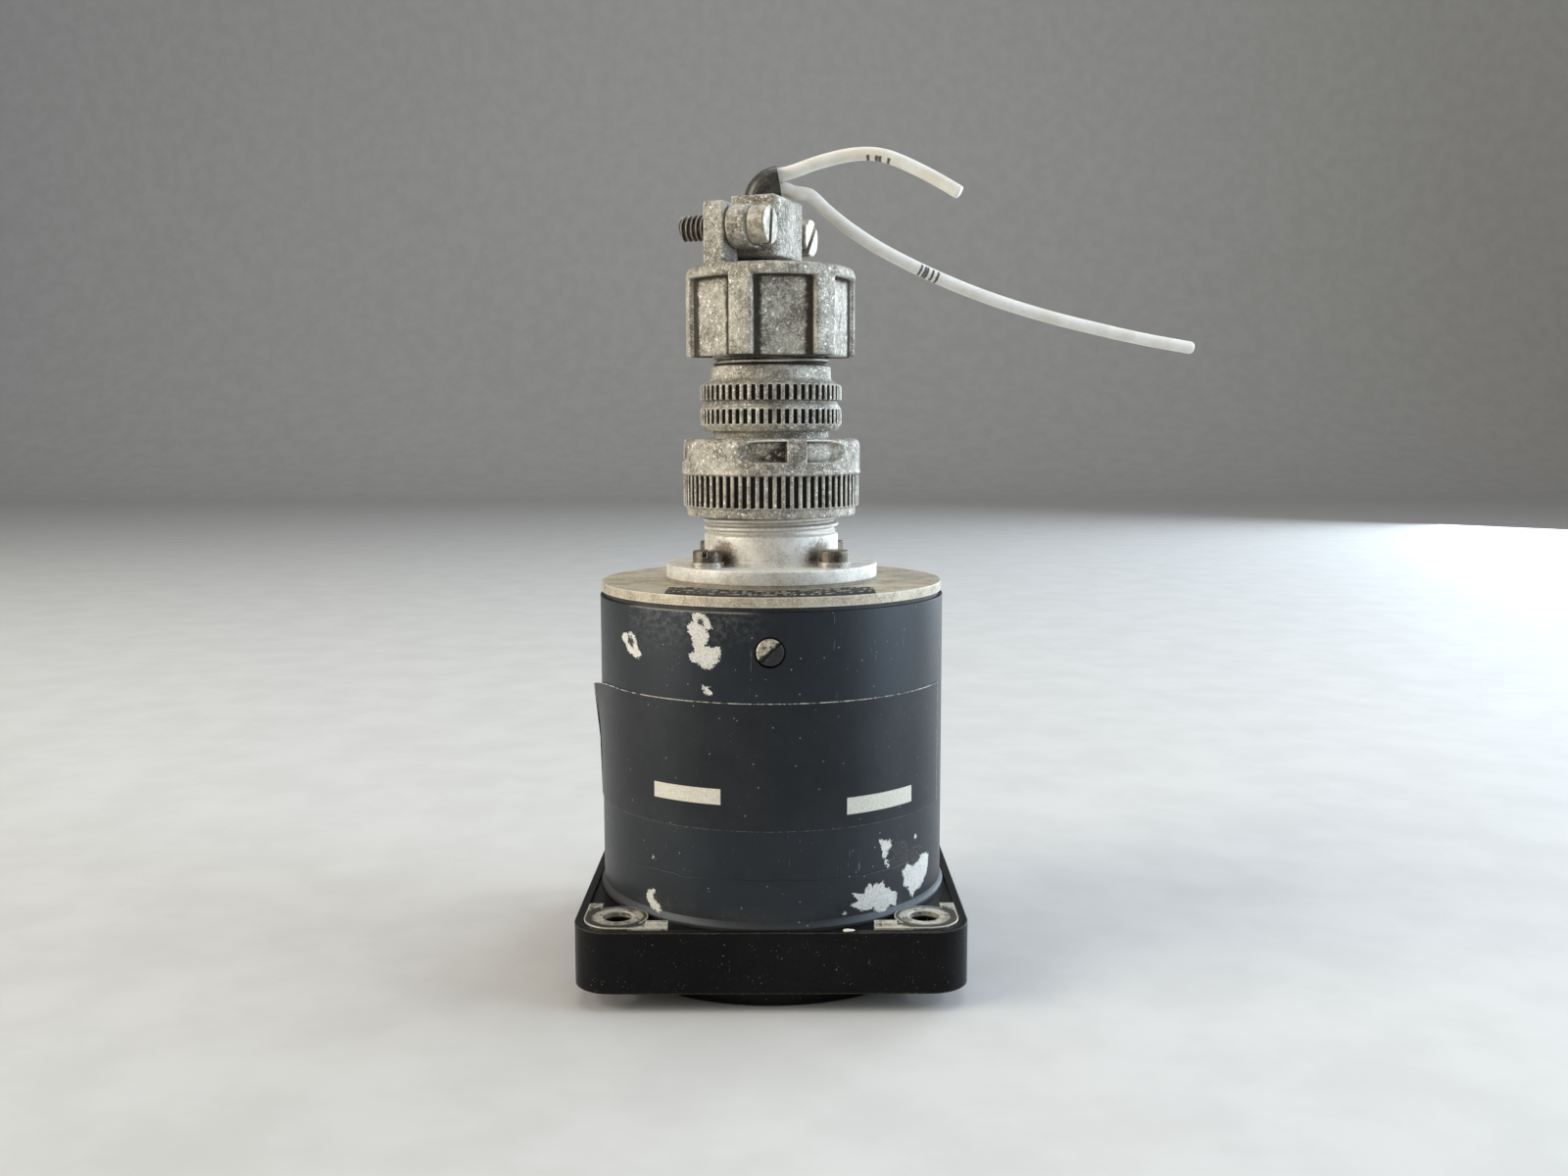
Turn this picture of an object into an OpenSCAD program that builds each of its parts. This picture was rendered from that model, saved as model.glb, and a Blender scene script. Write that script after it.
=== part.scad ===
// Panel gauge that shows the air temperature at a carburetor, standing face down with its plug on.
// Millimetres. Origin: middle of the front ring's face. +Z runs back along the case to the plug.
// The labelled side of the case faces -Y. The dial is read from below, with +Y up.

/* [Front flange] */
// Side of the square mounting flange
flange_w = 60.3; // [59.8:0.1:66]
// Thickness of the flange
flange_t = 9.5; // [8.5:0.1:14]
// Radius of the flange's corners
flange_corner_r = 6; // [4:0.5:9]
// Radius of the round ring that enters the panel
ring_r = 27.8; // [27.3:0.1:28.6]
// Height of the round ring in front of the flange
ring_h = 3; // [2.6:0.2:5]
// Chamfer on the ring's front edge
ring_chamfer = 0.4; // [0.2:0.1:0.8]
// Distance between mounting holes along a side
bolt_pitch = 47.14; // [46.8:0.02:48]
// Radius of a mounting hole
bolt_r = 2.25; // [1.8:0.05:2.5]
// Width of the raised rim round the flange's rear face
rim_w = 1.2; // [0.8:0.1:1.4]
// Height of that rim over the recessed face
rim_h = 0.5; // [0.3:0.1:0.8]
// Thickness of a corner nut plate
nut_plate_t = 0.8; // [0.5:0.1:1.2]
// Radius of the eye of a corner nut plate
nut_plate_eye_r = 4.6; // [3.6:0.1:4.7]

/* [Window and dial] */
// Radius of the bore that holds the window parts
window_r = 25.2; // [24.6:0.1:25.4]
// Depth from the front at which the window's snap ring starts
snap_depth = 0.6; // [0.4:0.1:0.8]
// Thickness of the snap ring
snap_t = 0.9; // [0.6:0.1:1.2]
// Thickness of the cover glass
glass_t = 2; // [1.5:0.1:2.6]
// Thickness of the gasket under the glass
glass_gasket_t = 0.5; // [0.3:0.1:0.8]
// Height of the spacer ring between gasket and dial
spacer_h = 2.5; // [2.4:0.1:3.2]
// Thickness of the dial plate
dial_t = 0.6; // [0.4:0.1:1]
// Radius of the opening in the spacer ring
dial_view_r = 23; // [20.5:0.5:23.5]
// Length of the pointer from its axis
pointer_l = 18.6; // [12:0.2:19]
// Angle of the pointer's low stop, from straight up
pointer_stop_angle = 56; // [40:1:56]

/* [Case] */
// Outer radius of the case
case_r = 28.3; // [28:0.1:28.7]
// Wall of the case
case_wall = 1.6; // [1.4:0.1:1.8]
// Length of the case tube
case_l = 48.5; // [46:0.5:80]
// Height of the worn flare at the foot of the case
flare_h = 1.4; // [0.8:0.1:2]
// Width of that flare
flare_w = 0.5; // [0.2:0.1:0.6]
// Distance from the case's rear edge to its screws
case_screw_drop = 5.93; // [4.5:0.1:7]
// Number of case screws
case_screw_count = 3; // [2:1:6]
// Lower edge of the sticker above the case's foot
label_foot = 15.4; // [8:0.1:20]
// Height of the sticker
label_h = 19.5; // [10:0.5:22]

/* [Back plate] */
// Thickness of the gasket under the back plate
case_gasket_t = 0.7; // [0.4:0.1:1.2]
// Thickness of the back plate
plate_t = 1.5; // [1.2:0.1:3]
// Length of the plate's skirt inside the case
skirt_l = 11.2; // [9:0.2:12]
// Thickness of the skirt
skirt_t = 2.1; // [1.6:0.1:2.4]
// Thickness of the pad that the receptacle's screws are tapped into
pad_t = 1.8; // [1:0.2:2.4]

/* [Receptacle] */
// Thickness of the gasket under the receptacle
receptacle_gasket_t = 0.5; // [0.3:0.1:1]
// Radius of the receptacle's flange
receptacle_flange_r = 17.45; // [17:0.1:19]
// Thickness of the receptacle's flange
receptacle_flange_t = 2.3; // [1.6:0.1:3]
// Radius over the receptacle's thread
receptacle_r = 11.1; // [11:0.05:11.3]
// Bore of the receptacle
receptacle_bore_r = 9.55; // [9.5:0.05:9.65]
// Length of the receptacle above its flange
receptacle_l = 16.1; // [15.4:0.1:18]
// Plain length of the receptacle below its thread
receptacle_plain_l = 5.1; // [3.8:0.1:6]
// Distance of the receptacle's screws from each centre line
receptacle_screw_xy = 10.05; // [9.8:0.05:10.6]
// Pitch of the coupling thread
coupling_pitch = 1.27; // [1:0.01:1.5]
// Number of contacts
contact_count = 4; // [2:1:4]
// Radius of the circle of contacts
contact_ring_r = 4.5; // [4:0.1:5.2]
// Radius of a contact pin
pin_r = 0.79; // [0.5:0.01:0.9]

/* [Plug] */
// Radius of the coupling ring's smooth band
coupling_r = 14.6; // [14.4:0.1:15.2]
// Length of the coupling ring
coupling_l = 12.55; // [12:0.05:14]
// Number of teeth in the coupling ring's knurl
coupling_teeth = 66; // [40:1:80]
// Radius over the end bell's knurl
end_bell_r = 11.6; // [11.2:0.1:13]
// Number of teeth in the end bell's knurls
end_bell_teeth = 54; // [30:1:60]
// Radius over the end bell's rear thread
clamp_thread_r = 9.5; // [9.4:0.05:9.6]

/* [Cable clamp] */
// Outer radius of the clamp's nut
nut_r = 13.8; // [13.6:0.1:15]
// Height of the clamp's nut
nut_h = 14.2; // [13:0.1:18]
// Width of a rib on the nut
nut_rib_w = 3.8; // [2:0.2:5]
// Turn of the clamp about the axis
clamp_turn = -21.5; // [-180:0.5:180]
// Distance between the clamp's screws
clamp_screw_gap = 18.2; // [17.6:0.1:18.6]
// Radius of a clamp screw's shank
clamp_screw_r = 2.08; // [1.5:0.02:2.2]
// Height of the fixed jaw
jaw_h = 9.5; // [9.2:0.1:12]
// Height of the moving saddle
saddle_h = 9.6; // [9.2:0.1:9.7]
// Travel of the saddle when it is slackened
saddle_travel = 1; // [0.5:0.1:1]

/* [Wires] */
// Radius of the insulated wires
wire_r = 1.08; // [0.8:0.02:1.1]
// Radius of the sleeve round the wires
sleeve_r = 2.6; // [2.4:0.05:2.6]

/* [Hidden] */

$fn = 96;

// Clearances
seat_gap = 0.02;
push_fit = 0.05;
running_fit = 0.05;
loose_fit = 0.2;
nut_plate_gap = 0.2;
thread_fit = 0.1;
cut = 0.5;

// Heights along the case
z_flange = ring_h;
z_rim = z_flange + flange_t;
z_recess = z_rim - rim_h;
z_case_end = z_recess + case_l;
z_plate = z_case_end + case_gasket_t;
z_plate_end = z_plate + plate_t;
z_receptacle = z_plate_end + receptacle_gasket_t;
z_receptacle_top = z_receptacle + receptacle_flange_t;
z_thread = z_receptacle_top + receptacle_plain_l;
z_receptacle_end = z_receptacle_top + receptacle_l;

// Mounting holes, clear of the case
bolt_land = 2.2;
bolt_xy = max(bolt_pitch / 2, (case_r + flare_w + bolt_r + bolt_land) / sqrt(2));

// Window, front to back
snap_groove_r = window_r + 0.9;
snap_groove_gap = 0.1;
z_snap = snap_depth;
z_glass = z_snap + snap_t + snap_groove_gap;
z_glass_gasket = z_glass + glass_t;
z_spacer = z_glass_gasket + glass_gasket_t;
z_dial = z_spacer + spacer_h;
z_dial_end = z_dial + dial_t;
window_part_r = window_r - loose_fit;
window_ledge = 2.8;
land_wall = 4.25;

// Movement, set off from its base plate
case_bore_r = case_r - case_wall;
land_h = 4.5;
land_r = case_bore_r - push_fit;
throat_r = min(window_r - window_ledge, land_r - land_wall);
base_t = 1.8;
base_r = land_r - 0.3;
z_base = z_recess + land_h;
z_base_end = z_base + base_t;
movement_screw_count = 3;
movement_screw_ring_r = land_r - 2.125;
movement_screw_r = 1.1;
movement_screw_head_r = 1.8;
movement_screw_head_h = 1.2;
movement_screw_depth = 3.5;
dial_screw_x = throat_r - 4.4;
dial_screw_y = -8;
dial_screw_r = 0.9;
dial_screw_head_r = 1.6;
dial_screw_head_h = 0.8;
dial_screw_depth = 4;
dial_post_r = 2;
dial_hole_r = 2.5;

pole_h = 14;
pole_r = case_bore_r - 11.15;
pole_wall = 7.35;
pole_bore_r = pole_r - pole_wall;
pole_gap = 2 * (pole_bore_r - 2.2);
magnet_r = case_bore_r - 6.2;
magnet_gap = pole_gap + 2;
base_hole_r = pole_bore_r + 0.4;
z_pole_end = z_base_end + pole_h;
core_r = pole_bore_r - 1.6;
core_lead = 1;
pole_screw_x = pole_bore_r + 3.3;
pole_screw_y = 5.4;
pole_screw_r = 1;
pole_screw_head_r = 1.7;
pole_screw_head_h = 1.1;
pole_screw_depth = 4;

coil_half = pole_bore_r - 0.3;
coil_wall = 1;
coil_w = 3;
coil_lead = 0.6;
z_coil = z_base_end - coil_lead;
z_coil_end = z_pole_end + coil_lead;

staff_r = 0.6;
bridge_w = 6;
bridge_t = 1.6;
bridge_foot_x = pole_bore_r + 3.6;
bridge_reach = bridge_foot_x + 2.7;
bridge_foot_r = 2.2;
front_bridge_rise = 1.9;
rear_bridge_rise = 3.7;
bridge_screw_r = 0.8;
bridge_screw_head_r = 1.5;
bridge_screw_head_h = 0.9;
z_front_bridge = z_base - front_bridge_rise - bridge_t;
z_rear_bridge = z_pole_end + rear_bridge_rise;
jewel_screw_r = 1.6;
jewel_screw_l = 3.2;
jewel_depth = 1.6;
staff_tip_gap = 0.1;

spring_turns = 3.5;
spring_inner_r = 1.5;
spring_pitch = 1.05;
spring_ribbon_t = 0.18;
spring_ribbon_h = 0.4;
spring_steps = 28;
spring_gap = 1;
spring_arm_t = 0.4;
spring_arm_r = 2.6;
spring_arm_w = 1.4;
spring_reach = spring_inner_r + spring_turns * spring_pitch;
collet_r = spring_inner_r - spring_ribbon_t / 2 - seat_gap;

pillar_r = 1.5;
pillar_ring_r = case_bore_r - 3.5;
pillar_count = 3;
pillar_end_gap = 19;
z_board = z_case_end - pillar_end_gap;
board_t = 1.6;
board_r = case_bore_r - 1.8;
z_board_end = z_board + board_t;
spool_x = 12;
spool_flange_r = 4.5;
spool_core_r = 3.6;
spool_h = 6.5;
spool_flange_t = 0.7;
lug_xy = 6.2;
lug_r = 1.1;
lug_h = 2.4;
lead_r = 0.6;

// Pointer, in front of the dial
pointer_gap = 1.2;
pointer_t = 0.4;
z_pointer = z_dial - pointer_gap - pointer_t;
pointer_hub_r = 1.7;
pointer_hub_h = 1;
pointer_root_w = 1.8;
pointer_tip_w = 0.5;
pointer_tail_l = 5.5;
stop_ring_r = 9.5;
stop_pin_r = 0.5;
stop_gap = 0.06;
stop_half_w = (pointer_root_w - (pointer_root_w - pointer_tip_w) * stop_ring_r / pointer_l) / 2;
stop_lag = asin((stop_half_w + stop_pin_r + stop_gap) / stop_ring_r);

// Case screws
case_screw_head_r = 2.05;
case_screw_head_h = 0.9;
case_screw_r = 1.2;
case_screw_sink = 0.15;
case_screw_slot_w = 0.6;
z_case_screw = z_case_end - case_screw_drop;
case_screw_len = skirt_t + loose_fit;
label_t = 0.15;
label_start = -80;
label_sweep = 152.5;
skirt_r = case_bore_r - 0.15;
plate_r = case_r - 0.25;
decal_w = 32;
decal_reach = 14;
decal_t = 0.06;
decal_margin = 0.6;
gasket_outer_r = case_r - 0.7;

// Receptacle
barrel_hole_r = receptacle_bore_r + 1.45;
rear_barrel_r = barrel_hole_r - loose_fit;
z_rear_barrel = z_plate_end - skirt_l + 4.5;
pad_r = receptacle_flange_r - 0.45;
insert_lip = 0.85;
insert_lip_h = 1;
insert_r = receptacle_bore_r - push_fit;
z_insert_end = z_thread + 0.9;
thread_depth = 0.75;
key_w = 2.2;
key_reach = 1.15;
flange_screw_r = 1.42;
flange_screw_head_r = 2.35;
flange_screw_head_h = 1.9;
flange_screw_slot_w = 0.7;
washer_t = 0.8;
washer_r = 2.6;
cup_r = 1.3;
cup_l = 5;

// Plug
plug_gap = 0.1;
nose_l = 9.4;
nose_r = receptacle_bore_r - 0.15;
plug_bore_r = nose_r - 1.2;
plug_flange_r = coupling_r - 2;
plug_flange_t = 2.2;
z_plug_flange = z_receptacle_end + plug_gap;
z_plug_flange_end = z_plug_flange + plug_flange_t;
z_nose = z_plug_flange - nose_l;
plug_neck_r = clamp_thread_r;
coupling_cavity_r = plug_flange_r + loose_fit;
coupling_lip_gap = 0.1;
z_coupling_lip = z_plug_flange_end + coupling_lip_gap;
coupling_lip_t = 1.85;
z_coupling_end = z_coupling_lip + coupling_lip_t;
z_coupling = z_coupling_end - coupling_l;
coupling_bore_r = receptacle_r + thread_fit;
coupling_snap_t = 0.7;
coupling_snap_gap = 0.1;
coupling_snap_r = coupling_cavity_r + 0.4;
z_coupling_snap = z_plug_flange - coupling_snap_gap - coupling_snap_t;
coupling_rim_h = 1.6;
coupling_knurl_h = 5.2;
coupling_knurl_r = coupling_r - 0.15;
coupling_rim_r = coupling_r - 0.65;
coupling_corner_r = 1;
knurl_depth = 0.6;
lock_lug_count = 3;
lock_cut_drop = 3.8;
lock_cut_depth = 2.4;
lock_web_x = 0.1;
lock_turn = 16.5;
lock_web_w = 3.2;
lock_hole_r = 0.6;
socket_r = cup_r;
z_socket = z_nose + 1.2;
z_socket_end = z_plug_flange_end + 2.2;

// End bell
bell_gap = 1.15;
z_bell = z_coupling_end + bell_gap;
bell_rim_h = 1.15;
bell_knurl_h = 2.4;
bell_groove_h = 1.4;
bell_cone_h = 1.05;
bell_neck_h = 2.2;
bell_neck_r = clamp_thread_r + 0.3;
bell_wall = 1.9;
z_bell_knurl = z_bell + bell_rim_h;
z_bell_groove = z_bell_knurl + bell_knurl_h;
z_bell_knurl2 = z_bell_groove + bell_groove_h;
z_bell_cone = z_bell_knurl2 + bell_knurl_h;
z_bell_neck = z_bell_cone + bell_cone_h;
z_bell_thread = z_bell_neck + bell_neck_h;
bell_socket_l = 6.8;

// Clamp
nut_foot_gap = 1.4;
z_nut = z_bell_thread + nut_foot_gap;
z_nut_end = z_nut + nut_h;
nut_top_t = 2;
nut_panel_r = nut_r - 1.1;
nut_flat_r = nut_r - 1.85;
nut_bore_r = clamp_thread_r + push_fit + 0.03;
nut_rib_count = 6;
nut_rib_turn = -20;
nut_corner_r = 1.2;
bell_end_gap = 4.7;
z_bell_end = z_nut_end - nut_top_t - bell_end_gap;
grommet_lift = 0.1;
jaw_ear = 3.1;
jaw_back_x = -6.45;
jaw_face_x = -3;
jaw_recess_x = -4.5;
saddle_arm_x = -4.25;
saddle_back_x = 3.7;
saddle_half_w = 6;
saddle_lift = 1.4;
saddle_corner_r = 0.8;
saddle_front_r = 1.6;
z_saddle = z_nut_end + saddle_lift;
z_clamp_screw = z_nut_end + 5.8;
ear_r = 3.3;
ear_face_x = -2.64;
ear_seat_x = 0.7;
clamp_washer_t = 0.5;
clamp_head_r = 3.15;
clamp_head_h = 2.6;
clamp_head_x = ear_seat_x + clamp_washer_t;
clamp_slot_w = 1.1;
clamp_tail_x = jaw_back_x - 4.95;
pocket_r = clamp_head_r + 0.45;
passage_x = -1.9;
passage_r = sleeve_r + 0.15;

// Sleeve
sleeve_bend_r = 3.4;
sleeve_bend = 80;
z_sleeve = z_bell_end - 2;
z_sleeve_bend = z_saddle + saddle_h - 0.5;
passage_at = [passage_x * cos(clamp_turn), passage_x * sin(clamp_turn), 0];

// Routes of the free wires, from the end of the sleeve to their cut ends
sleeve_end = passage_at + [
    sleeve_bend_r * (1 - cos(sleeve_bend)), 0, z_sleeve_bend + sleeve_bend_r * sin(sleeve_bend)
];
sleeve_up = [-cos(sleeve_bend), 0, sin(sleeve_bend)];
sleeve_tip = sleeve_end + 0.4 * [sin(sleeve_bend), 0, cos(sleeve_bend)];
wire_apart = 1.12;
wire_long_steps = [
    [0.5, 0, 0.09], [1.1, 0.1, -0.06], [1.9, 0.3, -0.38], [2.9, 0.5, -0.56], [3.9, 0.8, -0.63], [4.8, 1.0, -0.86],
    [5.9, 1.25, -1.7], [7.3, 1.55, -3.0], [9.3, 1.9, -4.6], [12, 2.4, -6.5], [16.6, 3.5, -9.2],
    [23.3, 5.3, -12.3], [31, 7.3, -15.3], [38.7, 9.3, -17.75], [46.4, 11.3, -19.75], [54.4, 13.2, -21.5],
    [63, 15, -23.2], [72.4, 17, -24.7]
];
wire_short_steps = [
    [1.5, 0, 0.3], [3.2, 0, 0.8], [5.4, 0, 1.6], [7.8, -0.1, 2.3], [10.5, -0.3, 2.9],
    [13.2, -0.6, 3.2], [15.6, -0.9, 3.1], [17.8, -1.3, 2.6], [20, -1.7, 1.7],
    [23.2, -2.3, 0.1], [26, -2.9, -1.5], [29.2, -3.6, -3.5]
];

// Basic shapes
module disc(r, z0, z1) {
    translate([0, 0, z0]) cylinder(r = r, h = z1 - z0);
}

module washer(r, hole_r, z0, z1) {
    difference() {
        disc(r, z0, z1);
        disc(hole_r, z0 - cut, z1 + cut);
    }
}

module rounded_square(w, r, z0, z1) {
    translate([-w / 2 + r, -w / 2, z0]) cube([w - 2 * r, w, z1 - z0]);
    translate([-w / 2, -w / 2 + r, z0]) cube([w, w - 2 * r, z1 - z0]);
    at_corners(w / 2 - r) disc(r, z0, z1);
}

module at_corners(d) {
    for (sx = [-1, 1], sy = [-1, 1]) translate([sx * d, sy * d, 0]) children();
}

module mirrored_corners(d) {
    for (sx = [0, 1], sy = [0, 1])
        mirror([sx, 0, 0]) mirror([0, sy, 0]) translate([d, d, 0]) children();
}

module around(count, r, start = 0) {
    for (i = [0 : count - 1]) rotate([0, 0, start + 360 * i / count]) translate([r, 0, 0]) children();
}

// A slotted screw with its head's seat at the origin and its shank along -Z
module slotted_screw(r, length, head_r, head_h, slot_w, slot_turn = 0) {
    difference() {
        union() {
            translate([0, 0, -length]) cylinder(r = r, h = length + 0.1);
            cylinder(r = head_r, h = head_h);
        }
        rotate([0, 0, slot_turn]) translate([-head_r - cut, -slot_w / 2, head_h * 0.5])
            cube([2 * head_r + 2 * cut, slot_w, head_h]);
    }
}

// Outline of a straight knurl: pairs of points on the tips, then on the roots
function knurl_outline(r, depth, teeth, tip = 0.3) = [
    for (i = [0 : teeth - 1], k = [0 : 3])
        let (a = 360 * (i + [-0.5 * tip, 0.5 * tip, 0.5 - 0.35 * tip, 0.5 + 0.35 * tip][k]) / teeth)
        (k < 2 ? r : r - depth) * [cos(a), sin(a)]
];

// Outline of a ridged sleeve from z0 to z1 that shows a thread's crests and roots
function ridge_outline(inner_r, r, depth, pitch, z0, z1) =
    let (n = floor((z1 - z0) / pitch))
    concat(
        [[inner_r, z0], [r - depth, z0]],
        [for (i = [0 : n - 1], k = [0 : 2])
            [k == 0 ? r - depth : r, z0 + pitch * (i + [0.12, 0.42, 0.62][k])]],
        [[r - depth, z0 + pitch * (n - 0.1)], [r - depth, z1], [inner_r, z1]]
    );

// A round tube swept along points, one ring a point, with flat ends square to the route
function unit(v) = v / norm(v);
function route_way(p, i) = unit(p[min(i + 1, len(p) - 1)] - p[max(i - 1, 0)]);
function ring_points(p, i, r, sides) =
    let (t = route_way(p, i), u = unit(cross(t, [0, 1, 0])), v = cross(t, u))
    [for (k = [0 : sides - 1]) p[i] + r * (cos(360 * k / sides) * u + sin(360 * k / sides) * v)];

module swept_tube(p, r, sides = 8) {
    n = len(p);
    points = [for (i = [0 : n - 1]) each ring_points(p, i, r, sides)];
    walls = [for (i = [0 : n - 2], k = [0 : sides - 1])
        let (a = i * sides + k, b = i * sides + (k + 1) % sides)
        each [[a, a + sides, b], [b, a + sides, b + sides]]];
    ends = [for (k = [1 : sides - 2])
        each [[0, k, k + 1], [(n - 1) * sides, (n - 1) * sides + k + 1, (n - 1) * sides + k]]];
    polyhedron(points = points, faces = concat(walls, ends));
}

// Front flange and its corner plates
module bezel_flange() {
    color([0.05, 0.05, 0.055]) difference() {
        union() {
            rotate_extrude() polygon([
                [0, 0], [ring_r - ring_chamfer, 0], [ring_r, ring_chamfer],
                [ring_r, z_flange + 0.1], [0, z_flange + 0.1]
            ]);
            rounded_square(flange_w, flange_corner_r, z_flange, z_rim);
            disc(land_r, z_recess - 1, z_base);
        }
        difference() {
            rounded_square(flange_w - 2 * rim_w, flange_corner_r - rim_w, z_recess, z_rim + cut);
            disc(land_r, z_recess - 1, z_rim + 2 * cut);
        }
        disc(window_r, -cut, z_dial_end);
        disc(snap_groove_r, z_snap - snap_groove_gap, z_snap + snap_t + snap_groove_gap);
        disc(throat_r, 0, z_base + cut);
        at_corners(bolt_xy) disc(bolt_r, -cut, z_rim + cut);
        around(movement_screw_count, movement_screw_ring_r, 90)
            disc(movement_screw_r + seat_gap, z_base - movement_screw_depth - 0.5, z_base + cut);
    }
}

module mounting_nut_plates() {
    edge = flange_w / 2 - rim_w - nut_plate_gap;
    hole = bolt_xy;
    strip_w = 2.2;
    strip_reach = 13.1;
    side_reach = 11.3;
    tab_l = 3.4;
    tab_h = 0.4;
    outer_r = flange_corner_r - rim_w;
    z0 = z_recess;
    z1 = z_recess + nut_plate_t;
    color([0.55, 0.52, 0.46]) for (sx = [0, 1], sy = [0, 1])
        mirror([sx, 0, 0]) mirror([0, sy, 0]) difference() {
            union() {
                intersection() {
                    union() {
                        translate([hole, hole, 0]) disc(nut_plate_eye_r, z0, z1);
                        translate([hole, hole, z0]) cube([edge - hole, edge - hole, z1 - z0]);
                        translate([edge - strip_reach, edge - strip_w, z0])
                            cube([strip_reach, strip_w, z1 - z0]);
                        translate([edge - strip_w, edge - side_reach, z0])
                            cube([strip_w, side_reach, z1 - z0]);
                    }
                    rounded_square(2 * edge, outer_r, z0, z1);
                }
                translate([edge - strip_reach, edge - strip_w, z0]) cube([tab_l, strip_w / 2, z1 - z0 + tab_h]);
            }
            translate([hole, hole, 0]) disc(bolt_r + 0.15, z0 - cut, z1 + cut);
            disc(case_r + flare_w + 0.15, z0 - cut, z1 + cut);
        }
}

// Window
module glass_snap_ring() {
    color([0.2, 0.2, 0.2]) difference() {
        washer(snap_groove_r - 0.1, dial_view_r + 0.6, z_snap, z_snap + snap_t);
        translate([-1, -snap_groove_r, z_snap - cut]) cube([2, snap_groove_r, snap_t + 2 * cut]);
    }
}

module cover_glass() {
    color([0.85, 0.9, 0.9, 0.4]) disc(window_part_r, z_glass, z_glass_gasket);
}

module glass_gasket() {
    color([0.08, 0.08, 0.08]) washer(window_part_r, dial_view_r + 0.4, z_glass_gasket, z_spacer);
}

module dial_spacer_ring() {
    color([0.06, 0.06, 0.06]) washer(window_part_r, dial_view_r, z_spacer, z_dial);
}

module dial_plate() {
    color([0.05, 0.05, 0.05]) difference() {
        union() {
            disc(window_part_r, z_dial, z_dial_end);
            for (side = [-1, 1]) rotate([0, 0, side * (pointer_stop_angle + stop_lag)])
                translate([0, stop_ring_r, 0]) disc(stop_pin_r, z_pointer - 0.2, z_dial + 0.1);
        }
        disc(dial_hole_r, z_dial - cut, z_dial_end + cut);
        for (side = [-1, 1]) translate([side * dial_screw_x, dial_screw_y, 0])
            disc(dial_screw_r + 0.1, z_dial - cut, z_dial_end + cut);
    }
}

module dial_screws() {
    color([0.3, 0.3, 0.3]) for (side = [-1, 1])
        translate([side * dial_screw_x, dial_screw_y, z_dial]) rotate([180, 0, 0])
            slotted_screw(dial_screw_r, dial_screw_depth, dial_screw_head_r, dial_screw_head_h, 0.5, 30);
}

module dial_posts() {
    color([0.75, 0.65, 0.4]) for (side = [-1, 1])
        translate([side * dial_screw_x, dial_screw_y, 0]) difference() {
            disc(dial_post_r, z_dial_end, z_base);
            disc(dial_screw_r + seat_gap, z_dial_end - cut, z_dial + dial_screw_depth + 0.5);
        }
}

// Movement
module movement_base() {
    color([0.7, 0.7, 0.7]) difference() {
        disc(base_r, z_base, z_base_end);
        disc(base_hole_r, z_base - cut, z_base_end + cut);
        around(movement_screw_count, movement_screw_ring_r, 90)
            disc(movement_screw_r + 0.15, z_base - cut, z_base_end + cut);
        pole_screw_places() disc(pole_screw_r + 0.1, z_base - cut, z_base_end + cut);
    }
}

module movement_screws() {
    color([0.5, 0.45, 0.3]) around(movement_screw_count, movement_screw_ring_r, 90)
        translate([0, 0, z_base_end]) slotted_screw(
            movement_screw_r, base_t + movement_screw_depth,
            movement_screw_head_r, movement_screw_head_h, 0.5, 20
        );
}

module magnet() {
    color([0.35, 0.35, 0.37]) difference() {
        washer(magnet_r, pole_r + seat_gap, z_base_end, z_pole_end);
        translate([-magnet_gap / 2, -magnet_r - cut, z_base_end - cut])
            cube([magnet_gap, magnet_r, pole_h + 2 * cut]);
    }
}

module pole_pieces() {
    color([0.5, 0.5, 0.52]) difference() {
        washer(pole_r, pole_bore_r, z_base_end, z_pole_end);
        translate([-pole_gap / 2, -pole_r - cut, z_base_end - cut])
            cube([pole_gap, 2 * pole_r + 2 * cut, pole_h + 2 * cut]);
        pole_screw_places() disc(pole_screw_r + seat_gap, z_base_end - cut, z_base_end + pole_screw_depth + 0.5);
        for (side = [-1, 1]) translate([side * bridge_foot_x, 0, 0])
            disc(bridge_screw_r + seat_gap, z_pole_end - 2.6, z_pole_end + cut);
    }
}

module pole_screw_places() {
    for (sx = [-1, 1], sy = [-1, 1]) translate([sx * pole_screw_x, sy * pole_screw_y, 0]) children();
}

module pole_screws() {
    color([0.5, 0.45, 0.3]) pole_screw_places() translate([0, 0, z_base]) rotate([180, 0, 0])
        slotted_screw(pole_screw_r, base_t + pole_screw_depth, pole_screw_head_r, pole_screw_head_h, 0.5, 40);
}

module iron_core() {
    color([0.45, 0.45, 0.47]) disc(core_r, z_base_end + core_lead, z_pole_end - core_lead);
}

module core_bracket() {
    mid = (z_base_end + z_pole_end) / 2;
    arm_w = 3;
    post_y = pole_r - 3.15;
    post_r = 1.6;
    color([0.8, 0.68, 0.38]) for (side = [0, 1]) mirror([0, side, 0]) {
        difference() {
            union() {
                translate([-arm_w / 2, core_r - 1, mid - arm_w / 2]) cube([arm_w, post_y - core_r + 1, arm_w]);
                translate([0, post_y, 0]) disc(post_r, z_base_end, mid + arm_w / 2);
            }
            disc(core_r + seat_gap, mid - arm_w, mid + arm_w);
        }
    }
}

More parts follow.
